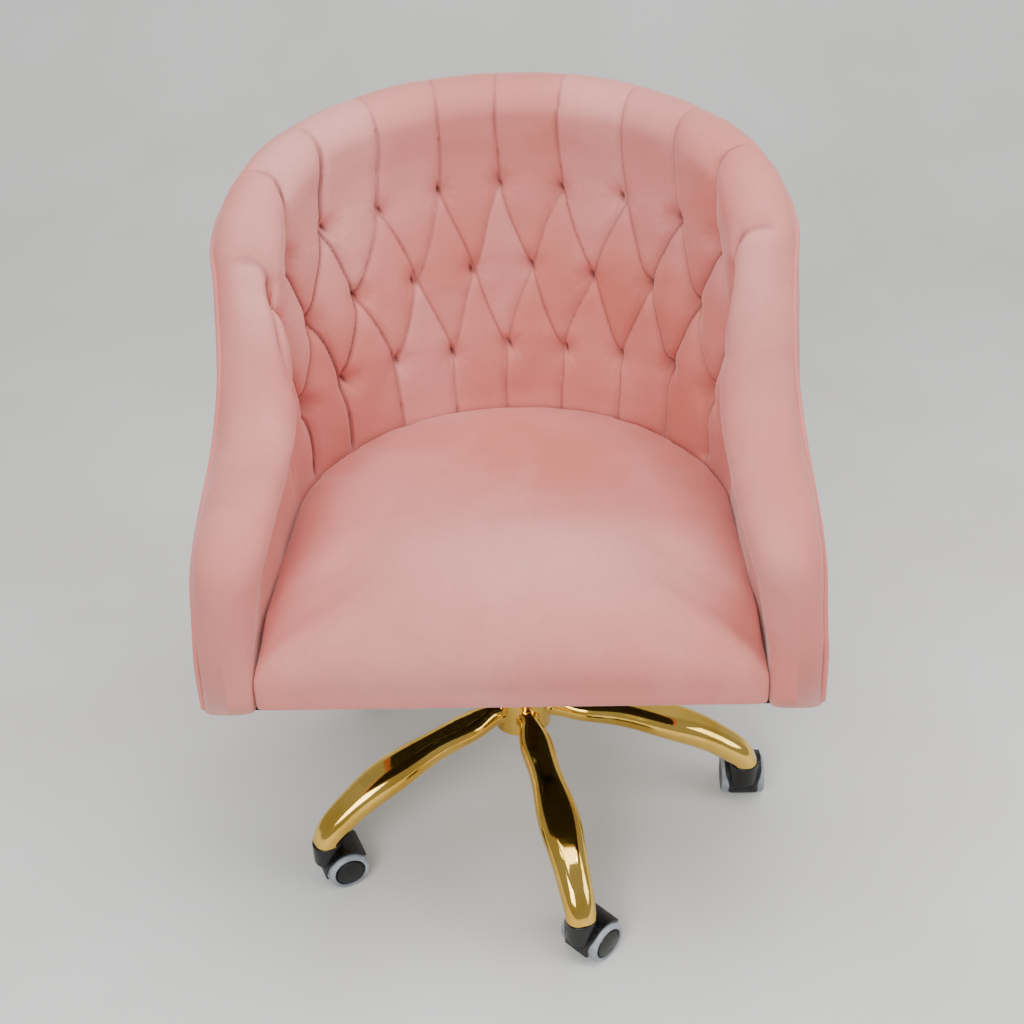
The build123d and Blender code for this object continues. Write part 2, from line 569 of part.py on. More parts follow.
def side_profile(inset):
    """The tub seen from the side, inset from its rim, back and front."""
    back_y, curve = OUTER_DEPTH - inset, inset_curve(RIM_CURVE, inset)
    with BuildSketch(SIDE) as profile:
        with BuildLine():
            back = Line((back_y, PROFILE_BOTTOM), (back_y, RIM_TOP - ROLL_RADIUS))
            rim = Spline(*curve, tangents=[(-1, 0), (0, -1)])
            TangentArc(back @ 1, rim @ 0, tangent=(0, 1))
            Polyline(rim @ 1, (curve[-1][0], PROFILE_BOTTOM), back @ 0)
        make_face()
    return profile.sketch


def below(curve):
    """What lies below a curve seen from the side, and behind the curve's front end."""
    behind = OUTER_DEPTH + 40
    with BuildSketch(SIDE) as profile:
        with BuildLine():
            top = Spline(*curve, tangents=[(-1, 0), (0, -1)])
            Polyline(
                top @ 1, (curve[-1][0], PROFILE_BOTTOM), (behind, PROFILE_BOTTOM),
                (behind, curve[0][1]), top @ 0,
            )
        make_face()
    return profile.sketch


def band(outside, inside, profile):
    """A band of the wall between two insets from the outside, cut to a side profile."""
    with BuildPart() as wall:
        extrude(outer_plan(outside), amount=CUT_HEIGHT)
        extrude(outer_plan(inside, OUTER_PLAN_FRONT_Y), amount=CUT_HEIGHT, mode=Mode.SUBTRACT)
        extrude(profile, amount=CUT_WIDTH, both=True, mode=Mode.INTERSECT)
    return wall.part


def tub_wall(inset):
    """The whole upholstered wall, inset from its surface, with its rim rounded."""
    with BuildPart() as wall:
        extrude(outer_plan(inset, OUTER_PLAN_FRONT_Y), amount=CUT_HEIGHT)
        extrude(inner_plan(inset), amount=CUT_HEIGHT, mode=Mode.SUBTRACT)
        extrude(side_profile(inset), amount=CUT_WIDTH, both=True, mode=Mode.INTERSECT)
        rim = [
            edge for edge in wall.edges()
            if edge.bounding_box().max.Z > RIM_TOP - 110 and edge.bounding_box().min.Z > SEAT_CROWN
        ]
        fillet(rim, RIM_ROUND)
    return wall.part


def seat_block(inset):
    """The crowned seat, inset from its cover: plan, side profile and front profile together."""
    front_y, crown, behind = FRONT_Y + inset, SEAT_CROWN - inset, INNER_DEPTH + 20
    with BuildSketch(SIDE) as from_side:
        with BuildLine():
            front = Line((front_y, PROFILE_BOTTOM), (front_y, crown - 50))
            lip = TangentArc(front @ 1, (FRONT_Y + 34, crown - 17), tangent=(0, 1))
            top = ThreePointArc(lip @ 1, (-50, crown), (behind, SEAT_BACK_TOP - 6 - inset))
            Polyline(top @ 1, (behind, PROFILE_BOTTOM), front @ 0)
        make_face()
    with BuildSketch(Plane.XZ) as from_front:
        with BuildLine():
            ThreePointArc(
                (-INNER_FRONT, SEAT_EDGE_TOP - inset), (0, SEAT_CROWN + 6 - inset),
                (INNER_FRONT, SEAT_EDGE_TOP - inset),
            )
            Polyline(
                (INNER_FRONT, SEAT_EDGE_TOP - inset), (INNER_FRONT, PROFILE_BOTTOM),
                (-INNER_FRONT, PROFILE_BOTTOM), (-INNER_FRONT, SEAT_EDGE_TOP - inset),
            )
        make_face()
    with BuildPart() as block:
        extrude(inner_plan(-inset), amount=CUT_HEIGHT)
        extrude(from_side.sketch, amount=CUT_WIDTH, both=True, mode=Mode.INTERSECT)
        extrude(from_front.sketch, amount=CUT_WIDTH, both=True, mode=Mode.INTERSECT)
    return block.part


# bolts that pull the back frame against the edge of the seat board
BOLT_RADIUS, BOLT_HEAD_RADIUS, BOLT_HEAD, BOLT_LENGTH = 3.0, 7.0, 3.0, 50.0
BOLT_Z = SEAT_BOTTOM + BOARD_THICK / 2
FRAME_HALF_WIDTH, FRAME_BACK = OUTER_HALF_WIDTH - FRAME_OUT, OUTER_DEPTH - FRAME_OUT
# (x, y) of each head and the direction that it faces
BOLT_SEATS = [(side * (FRAME_HALF_WIDTH + 0.4), -20, side, 0) for side in (-1, 1)]
BOLT_SEATS += [(side * (FRAME_HALF_WIDTH + 3), -170, side, 0) for side in (-1, 1)]
BOLT_SEATS += [(side * 90, FRAME_BACK - 10, side * 0.3, 1) for side in (-1, 1)]

with BuildPart() as back_bolts:
    for x, y, out_x, out_y in BOLT_SEATS:
        face = Plane(origin=(x, y, BOLT_Z), z_dir=(out_x, out_y, 0))
        with BuildSketch(face):
            Circle(BOLT_HEAD_RADIUS)
        extrude(amount=BOLT_HEAD)
        with BuildSketch(face):
            Circle(BOLT_RADIUS)
        extrude(amount=-BOLT_LENGTH)
save(back_bolts, "back_bolts")

with BuildPart() as seat_board:
    extrude(outer_plan(FRAME_IN, BOARD_FRONT_Y), amount=BOARD_THICK)
    # each screw's hole widens upwards for its tee nut and the nut's flange
    for hole_bottom, hole_radius in (
        (SEAT_BOTTOM, SCREW_HOLE_RADIUS), (TEE_NUT_BOTTOM, TEE_NUT_RADIUS),
        (BOARD_TOP - TEE_FLANGE, TEE_FLANGE_RADIUS),
    ):
        with Locations((0, 0, hole_bottom)):
            with GridLocations(SCREW_SPACING_X, SCREW_SPACING_Y, 2, 2):
                Cylinder(
                    hole_radius, BOARD_THICK, align=(Align.CENTER, Align.CENTER, Align.MIN),
                    mode=Mode.SUBTRACT,
                )
    add(back_bolts.part, mode=Mode.SUBTRACT)
save(seat_board, "seat_board")

with BuildPart() as dust_cover:
    extrude(
        outer_plan(DUST_COVER_INSET, FRONT_Y + DUST_COVER_INSET, PLATE_TOP),
        amount=DUST_COVER_THICK,
    )
    with BuildSketch(Plane.XY.offset(PLATE_TOP)):
        with GridLocations(SCREW_SPACING_X, SCREW_SPACING_Y, 2, 2):
            Circle(SCREW_HOLE_RADIUS)
    extrude(amount=DUST_COVER_THICK, mode=Mode.SUBTRACT)
save(dust_cover, "dust_cover")

board_space = extrude(outer_plan(FRAME_IN, BOARD_FRONT_Y), amount=BOARD_THICK)

with BuildPart() as seat_foam:
    add(seat_block(COVER_THICK))
    add(board_space, mode=Mode.SUBTRACT)
save(seat_foam, "seat_foam")

with BuildPart() as seat_cover:
    add(seat_block(0))
    add(seat_block(COVER_THICK), mode=Mode.SUBTRACT)
    add(board_space, mode=Mode.SUBTRACT)
save(seat_cover, "seat_cover")

with BuildPart() as back_frame:
    add(band(FRAME_OUT, FRAME_IN, below(inset_curve(RIM_CURVE, FRAME_DROP))))
    add(back_bolts.part, mode=Mode.SUBTRACT)
save(back_frame, "back_frame")

with BuildPart() as back_foam:
    add(tub_wall(COVER_THICK))
    add(back_frame.part, mode=Mode.SUBTRACT)
    add(board_space, mode=Mode.SUBTRACT)
    add(back_bolts.part, mode=Mode.SUBTRACT)
save(back_foam, "back_foam")

with BuildPart() as outside_back_cover:
    add(band(0, COVER_THICK, below(SEAM_CURVE)))
save(outside_back_cover, "outside_back_cover")

with BuildPart() as tufted_inner_cover:
    add(tub_wall(0))
    add(tub_wall(COVER_THICK), mode=Mode.SUBTRACT)
    add(band(-1, COVER_THICK, below(SEAM_CURVE)), mode=Mode.SUBTRACT)
    add(board_space, mode=Mode.SUBTRACT)
save(tufted_inner_cover, "tufted_inner_cover")

with BuildPart() as welt_piping:
    add(band(-WELT_PROUD, 0, below(SEAM_CURVE)))
    add(band(-WELT_PROUD - 1, 1, below(inset_curve(SEAM_CURVE, WELT_WIDTH))), mode=Mode.SUBTRACT)
save(welt_piping, "welt_piping")
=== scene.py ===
"""A pink velvet styling chair with a deep-tufted tub back, on a gold five-star base with casters.

The metal and plastic parts are the CAD model's own meshes with detailed materials. The upholstery
is built here: the tufted tub, the outside cover, its welt and the seat cushion. Lengths are metres.
"""
import math

import bmesh
import bpy
import numpy as np
from mathutils import Matrix


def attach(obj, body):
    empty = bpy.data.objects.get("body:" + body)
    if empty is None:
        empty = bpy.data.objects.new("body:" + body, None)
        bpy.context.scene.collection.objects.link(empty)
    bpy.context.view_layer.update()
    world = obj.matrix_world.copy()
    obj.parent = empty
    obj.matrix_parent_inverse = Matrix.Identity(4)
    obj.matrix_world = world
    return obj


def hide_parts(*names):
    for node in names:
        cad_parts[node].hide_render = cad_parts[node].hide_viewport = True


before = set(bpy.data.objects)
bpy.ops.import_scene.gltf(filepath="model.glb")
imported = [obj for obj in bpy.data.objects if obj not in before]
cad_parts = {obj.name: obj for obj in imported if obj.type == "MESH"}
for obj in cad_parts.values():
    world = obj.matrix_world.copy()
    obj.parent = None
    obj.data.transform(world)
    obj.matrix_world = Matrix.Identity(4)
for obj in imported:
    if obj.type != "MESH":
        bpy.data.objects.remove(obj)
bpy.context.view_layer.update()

# ---------------------------------------------------------------- the tub's shape
# Everything here is in metres. The wall is a thick sheet stood on the tub's outer plan:
# a point of it is (s, z), s along the plan from the left arm's front to the right arm's.
HALF_WIDTH = 0.309              # outer plan at the widest point of the ellipse
DEPTH = 0.271
FRONT_HALF_WIDTH = 0.312
FRONT_Y = -0.263
BOTTOM_Z = 0.3685
WALL_MIDDLE = 0.0355            # the wall's middle line, in from the outer plan
ROLL = 0.036                    # radius of the padded edge, measured in from the rim
FOOT_ROLL = 0.011               # and at the foot of the arms' fronts, where it is also squarer
ROLL_POWER, FOOT_POWER = 2.15, 3.0
FOOT_Z = (0.39, 0.53)           # the foot's edge changes into the rim's between these heights
ROLL_BLEND = 0.075              # the rolled edge's width fades into the wall's over this
# the tub's sides stand out at the foot and lean in above the arms: (height, change in half width)
LEAN_Z = (0.368, 0.430, 0.500, 0.600, 0.700, 0.870)
LEAN_X = (0.0085, 0.0082, 0.0040, -0.0013, -0.0012, -0.0022)

# thickness of the wall: at its back (foot, loss upwards, height of the foot, rise), and at its sides
BACK_THICK, BACK_THINNER, BACK_LOW_Z, BACK_RISE = 0.080, 0.0210, 0.465, 0.292
SIDE_Y = (-0.263, -0.22, -0.16, -0.05, 0.0)
SIDE_THICK = (0.051, 0.055, 0.060, 0.065, 0.067)
BACK_BEGINS_Y, BACK_FULL_Y = 0.0, 0.19
# thickness at its rolled edge: by y over the arms and back, and by height down the arms' fronts
ROLL_Y = (-0.263, -0.20, -0.15, -0.05, 0.0, 0.08, 0.236)
ROLL_THICK = (0.078, 0.083, 0.086, 0.085, 0.078, 0.072, 0.070)
FRONT_Z = (0.368, 0.44, 0.51, 0.56, 0.60)
FRONT_THICK = (0.052, 0.055, 0.065, 0.079, 0.088)

# rim seen from the side: (y on the wall's middle line, z), from the back down to the arm's front
RIM = [
    (0.240, 0.869), (0.204, 0.863), (0.152, 0.853), (0.081, 0.831), (0.041, 0.811), (0.010, 0.784),
    (-0.010, 0.747), (-0.030, 0.704), (-0.050, 0.664), (-0.075, 0.631), (-0.100, 0.614),
    (-0.160, 0.594), (-0.210, 0.579), (-0.241, 0.563), (-0.258, 0.538), (-0.263, 0.500),
]


def smooth_curve(points, count):
    """A natural cubic spline through a few points, sampled evenly along its chords."""
    p = np.array(points, float)
    t = np.concatenate([[0.0], np.cumsum(np.linalg.norm(np.diff(p, axis=0), axis=1))])
    h, n = np.diff(t), len(t)
    system, right = np.eye(n), np.zeros_like(p)
    for i in range(1, n - 1):
        system[i, i - 1:i + 2] = h[i - 1], 2 * (h[i - 1] + h[i]), h[i]
        right[i] = 6 * ((p[i + 1] - p[i]) / h[i] - (p[i] - p[i - 1]) / h[i - 1])
    bend = np.linalg.solve(system, right)
    at = np.linspace(0, t[-1], count)
    i = np.clip(np.searchsorted(t, at, side="right") - 1, 0, n - 2)
    a, b, k = (t[i + 1] - at)[:, None], (at - t[i])[:, None], h[i][:, None]
    return (
        bend[i] * a ** 3 / (6 * k) + bend[i + 1] * b ** 3 / (6 * k)
        + (p[i] / k - bend[i] * k / 6) * a + (p[i + 1] / k - bend[i + 1] * k / 6) * b
    )


def smoothstep(x, low, high):
    t = np.clip((x - low) / (high - low), 0, 1)
    return t * t * (3 - 2 * t)


def outer_plan(count=3000):
    """The outer plan as a fine line, its length so far, and its inward normals."""
    side_y = np.linspace(FRONT_Y, 0, count // 4, endpoint=False)
    flare = (FRONT_HALF_WIDTH - HALF_WIDTH) * smoothstep(-side_y, 0, -FRONT_Y)
    left = np.column_stack([-(HALF_WIDTH + flare), side_y])
    turn = np.linspace(np.pi, 0, count // 2)
    back = np.column_stack([HALF_WIDTH * np.cos(turn), DEPTH * np.sin(turn)])
    right = left[::-1] * (-1, 1)
    line = np.vstack([left, back, right])
    length = np.concatenate([[0], np.cumsum(np.linalg.norm(np.diff(line, axis=0), axis=1))])
    along = np.gradient(line, length, axis=0)
    along /= np.linalg.norm(along, axis=1)[:, None]
    return line, length, np.column_stack([along[:, 1], -along[:, 0]])


PLAN, PLAN_LENGTH, PLAN_NORMAL = outer_plan()
TOTAL = PLAN_LENGTH[-1]


def plan_at(s):
    """Outer plan points and inward normals at the given lengths."""
    return (
        np.stack([np.interp(s, PLAN_LENGTH, PLAN[:, i]) for i in (0, 1)], -1),
        np.stack([np.interp(s, PLAN_LENGTH, PLAN_NORMAL[:, i]) for i in (0, 1)], -1),
    )


RIM_LINE = smooth_curve(RIM, 400)


def rim_height(s):
    """Height of the rim over the plan at s, by the y of the wall's middle line."""
    p, n = plan_at(s)
    y = np.clip(p[..., 1] + WALL_MIDDLE * n[..., 1], FRONT_Y, RIM[0][0])
    return np.interp(y, RIM_LINE[::-1, 0], RIM_LINE[::-1, 1])


def edge_distance(s, z):
    """Distance in the sheet to its edge: the rim above and the two upright front ends."""
    upright, bend_to = 60, 3 * ROLL                 # points up the front, and length of its bend
    edge_s = np.concatenate([
        np.zeros(upright),
        bend_to * np.linspace(0, 1, 80) ** 2,
        np.linspace(bend_to, TOTAL / 2, 420)[1:],
    ])
    edge_z = rim_height(edge_s)
    edge_z[:upright] = np.linspace(BOTTOM_Z - 0.1, edge_z[upright], upright)
    from_front = np.minimum(s, TOTAL - s)
    far = np.full(s.shape, 1.0)
    for at_s, at_z, ds, dz in zip(edge_s, edge_z, np.diff(edge_s), np.diff(edge_z)):
        size = ds * ds + dz * dz
        if size < 1e-14:
            continue
        t = np.clip(((from_front - at_s) * ds + (z - at_z) * dz) / size, 0, 1)
        far = np.minimum(far, np.hypot(from_front - at_s - t * ds, z - at_z - t * dz))
    return far


def wall_thickness(y, z):
    """Thickness of the wall away from the rolled edge. The back leans, so it thins upwards."""
    back = BACK_THICK - BACK_THINNER * np.clip((z - BACK_LOW_Z) / BACK_RISE, 0, 1.2)
    side = np.interp(y, SIDE_Y, SIDE_THICK)
    return side + (back - side) * smoothstep(y, BACK_BEGINS_Y, BACK_FULL_Y)


def roll_width(y, z):
    """Thickness of the wall at its rolled edge: widest on top of the arms."""
    return np.minimum(np.interp(y, ROLL_Y, ROLL_THICK), np.interp(z, FRONT_Z, FRONT_THICK))


def thickness(s, z, d):
    """Thickness of the wall at a point that is d from its edge."""
    p, n = plan_at(s)
    y = p[..., 1] + WALL_MIDDLE * n[..., 1]
    deep = smoothstep(d, 0.7 * ROLL, ROLL + ROLL_BLEND)
    return roll_width(y, z) + (wall_thickness(y, z) - roll_width(y, z)) * deep


def place(s, z, q):
    """The point at distance q in from the outer face."""
    p, n = plan_at(s)
    lean = 1 + np.interp(z, LEAN_Z, LEAN_X) / HALF_WIDTH
    return np.stack([(p[..., 0] + n[..., 0] * q) * lean, p[..., 1] + n[..., 1] * q, z], -1)


def half_depth(d, z):
    """How much of the half thickness is reached at distance d from the rolled edge."""
    up = smoothstep(z, *FOOT_Z)
    reach = FOOT_ROLL + (ROLL - FOOT_ROLL) * up
    power = FOOT_POWER + (ROLL_POWER - FOOT_POWER) * up
    near = 1 - np.clip(d / reach, 0, 1)
    return (1 - near ** power) ** (1 / power)


# ---------------------------------------------------------------- deep tufting
PITCH = 0.0672                  # between the tufts of a row, along the wall
OFF_CENTRE = -0.008             # the middle tuft isn't quite in the middle of the back
ROW_TOP, ROW_FALL = 0.748, 0.075    # height of the first row, and its fall towards the arms
ROW_LOW = 0.545                 # height of the third row
ROWS = ((0, range(-5, 6)), (1, range(-5, 5)), (2, range(-4, 5)))    # row, numbers of its tufts
DIAMOND_HEIGHT = 0.203          # from the first row to the third, at the middle of the back
FOLD_REACH = 0.0105             # width of a fold's sharp edge
PILLOW_REACH = 0.032            # width of the padding's slope into a fold
PAINTED_SHADE_WIDTH = 0.0021           # half width of the painted shade line along a fold
LAP, LAP_REACH = 0.0011, 0.005  # one side of a fold stands this much above the other
TUFT_RADIUS = 0.0120
GASH_DEPTH = 0.0060             # the slit that the cover is drawn into at a tuft
GASH_HALF_WIDTH, GASH_HALF_HEIGHT = 0.0026, 0.0078
GATHER_DEPTH, GATHER_RADIUS, GATHER_WIDTH = 0.0006, 0.012, 0.007
INNER_FACE = 0.075              # the inner face, in from the outer plan

RUN_LINE = PLAN + PLAN_NORMAL * INNER_FACE
RUN = np.concatenate([[0], np.cumsum(np.linalg.norm(np.diff(RUN_LINE, axis=0), axis=1))])
RUN -= RUN[-1] / 2


def run_at(s):
    """Length along the inner face of the wall, from the middle of the back."""
    return np.interp(s, PLAN_LENGTH, RUN)


def seed_of(row, number):
    """A number of its own for each tuft, for its small irregularities."""
    return 7.3 * row + 1.9 * number


def tuft_place(row, number):
    """Where a tuft is, as (run, height), each a little out of line."""
    run = (number + 0.5 * (row == 1)) * PITCH
    top = ROW_TOP - ROW_FALL * abs(run)
    seed = seed_of(row, number)
    return (
        run + OFF_CENTRE + 0.0035 * math.sin(3.1 * seed),
        top - row * (top - ROW_LOW) / 2 + 0.0030 * math.sin(5.3 * seed),
    )


def rise(distance, reach):
    """A quarter circle: 0 in the fold, 1 from the given reach on."""
    t = 1 - np.clip(distance / reach, 0, 1)
    return np.sqrt(1 - t * t)


def tufting(run, z, roll):
    """How far the cover is drawn in, how much painted shade its folds get (0 to 1), and how much
    painted sheen and shade it gets, as if its pile lay one way or another (0 to 1).

    roll is 0 on the wall and 1 over the rim.
    """
    u = (run - OFF_CENTRE) / PITCH
    u = u + 0.045 * np.sin(1.9 * u + 0.7) + 0.02 * np.sin(3.7 * z / PITCH + u)
    top = ROW_TOP - ROW_FALL * np.abs(run)
    w = 2 * (top - z) / (top - ROW_LOW)
    lean = np.clip(w, 0, 2) / 2
    side = np.abs(u)
    inside = 1 - smoothstep(side + 0.32 * np.clip(w, 0, 3), 5.25, 6.1)
    deep = smoothstep(side, 1.4, 4.2)               # the folds get deeper towards the arms
    in_diamonds = smoothstep(w, -0.25, 0.15) * (1 - smoothstep(w, 1.95, 2.5))
    scale = math.hypot(1 / PITCH, 1 / DIAMOND_HEIGHT)
    near_a, near_b = ((u + k * lean + 0.5) % 1 - 0.5 for k in (1, -1))
    da, db = (np.abs(near) / scale for near in (near_a, near_b))

    pillow = (0.0034 + 0.0120 * deep) * (0.40 + 0.60 * in_diamonds) * (1 - 0.55 * roll)
    fold = (0.0024 + 0.0040 * deep) * (1 - 0.45 * roll)
    drawn = pillow * (1 - rise(da, PILLOW_REACH) * rise(db, PILLOW_REACH))
    drawn = drawn + fold * (1 - rise(da, FOLD_REACH) * rise(db, FOLD_REACH))
    # one side of each fold laps over the other
    for near, far in ((near_a, da), (near_b, db)):
        drawn = drawn - LAP * np.sign(near) * np.exp(-far / LAP_REACH) * (1 - 0.6 * roll)
    # painted shade: a dark line drawn along each fold, where shade would fall
    crease = np.exp(-(np.minimum(da, db) / PAINTED_SHADE_WIDTH) ** 2)
    crease = crease * (0.46 + 0.30 * deep) * (1 - 0.35 * roll)

    # painted sheen and shade: each diamond is a little lighter or darker as if its pile caught the
    # light its own way, with a painted shade sweep on the right and a painted light sweep on the left
    cell = np.floor(u + lean) * 3.17 + np.floor(u - lean) * 7.91
    dark = smoothstep(run, 0.06, 0.17) * (1 - smoothstep(run, 0.26, 0.36)) * smoothstep(w, 0.35, 0.9)
    painted_light_patch = 0.8 * (1 - smoothstep(run, -0.24, -0.04)) * (1 - smoothstep(w, -0.4, 2.2))
    nap = 0.44 + (0.20 * np.sin(cell * 12.9) + 0.5 * dark - 0.45 * painted_light_patch) * inside

    for row, numbers in ROWS:
        for number in numbers:
            at_run, at_z = tuft_place(row, number)
            dx, dz = run - at_run, z - at_z
            near = np.hypot(dx, 0.85 * dz)
            depth = 0.0060 + 0.0050 * smoothstep(abs(number), 1.5, 4)
            drawn = drawn + depth * np.exp(-(near / TUFT_RADIUS) ** 2)
            slant = dx + (0.25 + 0.15 * math.sin(seed_of(row, number))) * dz
            gash = np.exp(-(slant / GASH_HALF_WIDTH) ** 2 - (dz / GASH_HALF_HEIGHT) ** 2)
            drawn = drawn + GASH_DEPTH * gash
            # painted shade in the slit at each tuft
            crease = np.maximum(crease, 0.9 * np.exp(-(slant / 0.0024) ** 2 - (dz / 0.0068) ** 2))
            # small gathers fan out of the tuft
            fan = np.cos(9 * np.arctan2(dz, dx) + 3 * row + number)
            ring = np.exp(-((near - GATHER_RADIUS) / GATHER_WIDTH) ** 2)
            drawn = drawn + GATHER_DEPTH * fan * ring
    return drawn * inside, crease * inside, nap


# ---------------------------------------------------------------- meshes
def ripple(points, size, depth, seed, waves=14):
    """Low soft unevenness, the same each time: a sum of waves of about the given size."""
    draw = np.random.default_rng(seed)
    total = np.zeros(points.shape[:-1])
    for _ in range(waves):
        way = draw.normal(size=3)
        way /= np.linalg.norm(way)
        length = size * draw.uniform(0.6, 1.6)
        total += np.sin(points @ way * 2 * np.pi / length + draw.uniform(0, 6.28))
    return depth * total / math.sqrt(waves)


def unevenness(points):
    """The padding's soft unevenness, the same on the tub and on its outside cover."""
    return ripple(points, 0.16, 0.0011, seed=3) + ripple(points, 0.055, 0.0004, seed=5)


def grid_faces(rows, columns, close_rows=False):
    """Quads of a grid of points that is stored row by row."""
    faces = []
    for i in range(rows if close_rows else rows - 1):
        for j in range(columns - 1):
            a, b = i * columns + j, ((i + 1) % rows) * columns + j
            faces.append((a, a + 1, b + 1, b))
    return faces


def make_mesh(name, points, faces, material, weld=0.0, **values):
    """A new shown object with smooth faces that look outwards. values are stored at its points."""
    mesh = bpy.data.meshes.new(name)
    mesh.from_pydata(np.asarray(points).tolist(), [], faces)
    for key, value in values.items():
        layer = mesh.attributes.new(key, "FLOAT", "POINT")
        layer.data.foreach_set("value", np.asarray(value, dtype=np.float32).ravel())
    work = bmesh.new()
    work.from_mesh(mesh)
    if weld:
        bmesh.ops.remove_doubles(work, verts=work.verts, dist=weld)
        bmesh.ops.dissolve_degenerate(work, edges=work.edges, dist=weld)
    bmesh.ops.recalc_face_normals(work, faces=work.faces)
    work.to_mesh(mesh)
    work.free()
    mesh.polygons.foreach_set("use_smooth", [True] * len(mesh.polygons))
    mesh.materials.append(material)
    obj = bpy.data.objects.new(name, mesh)
    bpy.context.scene.collection.objects.link(obj)
    return obj


def outward_normals(points):
    """Unit normals of a grid of points that is stored column by column."""
    across = np.gradient(points, axis=0)
    along = np.gradient(points, axis=1)
    normal = np.cross(along, across)
    return normal / np.maximum(np.linalg.norm(normal, axis=-1), 1e-12)[..., None]


# ---------------------------------------------------------------- the tufted tub
COLUMNS = 560
LOW_ROWS, WALL_ROWS, ROLL_ROWS = 5, 108, 20
OUTER_STEP = 7                  # the covered outer face keeps only every seventh row
SEAT_LEVEL = 0.452              # below this the wall is behind the seat cushion
HIDDEN_Z = (0.440, 0.462)       # the tufting sets in between these heights
FRONT_FADE = (0.004, 0.03)      # and between these lengths from the arms' front ends


def wall_columns():
    """Lengths along the plan of the wall's columns, closer together round its two front ends."""
    turn = np.linspace(0, np.pi / 2, 17)
    front = ROLL * (1 - np.cos(turn))
    middle = np.linspace(ROLL, TOTAL - ROLL, COLUMNS - 2 * len(front) + 2)[1:-1]
    return np.concatenate([front, middle, TOTAL - front[::-1]])


def wall_rows(top, slope):
    """Heights of one column's points, from the bottom to the rim, closer together over the roll."""
    reach = min(ROLL * math.hypot(1, slope), 0.6 * (top - SEAT_LEVEL))
    roll = top - reach * (1 - np.sin(np.linspace(0, np.pi / 2, ROLL_ROWS)))
    low = np.linspace(BOTTOM_Z, SEAT_LEVEL, LOW_ROWS, endpoint=False)
    return np.concatenate([low, np.linspace(SEAT_LEVEL, roll[0], WALL_ROWS, endpoint=False), roll])


def tub_points():
    """The tub as a grid of points, one ring for each column, with each point's painted fold shade and
    painted pile light and shade.
    """
    s = wall_columns()
    top = rim_height(s)
    slope = np.clip(np.abs(np.gradient(top, s)), 0, 2.4)
    z = np.array([wall_rows(t, k) for t, k in zip(top, slope)])
    s = np.repeat(s[:, None], z.shape[1], axis=1)
    d = edge_distance(s, z)
    d[:, -1] = 0
    t = thickness(s, z, d)
    half = half_depth(d, z) * t / 2
    outer, inner = place(s, z, t / 2 - half), place(s, z, t / 2 + half)
    kept = np.r_[0, LOW_ROWS:LOW_ROWS + WALL_ROWS:OUTER_STEP, LOW_ROWS + WALL_ROWS:z.shape[1]]
    ring = np.concatenate([outer[:, kept], inner[:, -2::-1]], axis=1)
    normal = outward_normals(ring)

    def both(field):
        """A field of the wall's sheet, at the ring's points."""
        return np.concatenate([field[:, kept], field[:, -2::-1]], axis=1)

    side = np.where(np.arange(ring.shape[1]) < len(kept), -1, 1)
    depth_in = side * both(half) / np.maximum(both(t) / 2, 1e-9)
    over = 1 - both(half_depth(d, z))
    drawn, crease, nap = tufting(both(run_at(s)), both(z), smoothstep(over, 0.0, 0.6))
    on_inside = smoothstep(depth_in, -0.75, 0.10)
    drawn, crease, nap = drawn * on_inside, crease * on_inside, 0.5 + (nap - 0.5) * on_inside
    shown = smoothstep(both(z), *HIDDEN_Z)          # flat behind the seat cushion
    ends = smoothstep(both(np.minimum(s, TOTAL - s)), *FRONT_FADE)
    ring = ring - normal * ((drawn * shown - unevenness(ring)) * ends)[..., None]
    return ring, crease * shown, nap


def make_tub(material):
    """The tufted inside, the rolled rim and the arms, as one closed body."""
    points, crease, nap = tub_points()
    columns, ring = points.shape[:2]
    flat = points.transpose(1, 0, 2).reshape(-1, 3)
    return make_mesh(
        "tufted_tub", flat, grid_faces(ring, columns, close_rows=True), material,
        weld=1e-5, crease=crease.T, nap=nap.T,
    )


# ---------------------------------------------------------------- outside cover and its welt
SEAM_DROP = 0.032               # the seam runs this far below the rim
SEAM_FRONT = 0.0085             # and this far round from the middle of each arm's front
# where the seam turns down to the arm's foot: (distance round from the front, height)
SEAM_BEND = [
    (SEAM_FRONT, 0.3685), (0.0100, 0.420), (0.0140, 0.462), (0.0215, 0.495), (0.0350, 0.5205),
    (0.0580, 0.5400), (0.0880, 0.5540), (0.1200, 0.5663),
]
WELT_RADIUS = 0.0031
WELT_PROUD = 0.0008             # its middle line, out from the padding
WELT_EASE = 10                  # rounds of smoothing along the welt's line
COVER_PROUD, COVER_BACK = 0.0012, 0.0002    # the two faces of the cover, out from the padding


def seam_height(s):
    """Height of the seam: below the rim, then down the outer corner of each arm's front."""
    near = np.minimum(s, TOTAL - s)
    bend = smooth_curve(SEAM_BEND, 80)
    high = rim_height(s) - SEAM_DROP
    return np.where(near < SEAM_BEND[-1][0], np.interp(near, bend[:, 0], bend[:, 1]), high)


def outer_face(s, z, proud):
    """A point on the outer face of the tub, stood out from it."""
    d = edge_distance(s, z)
    t = thickness(s, z, d)
    return place(s, z, t / 2 * (1 - half_depth(d, z)) - proud)


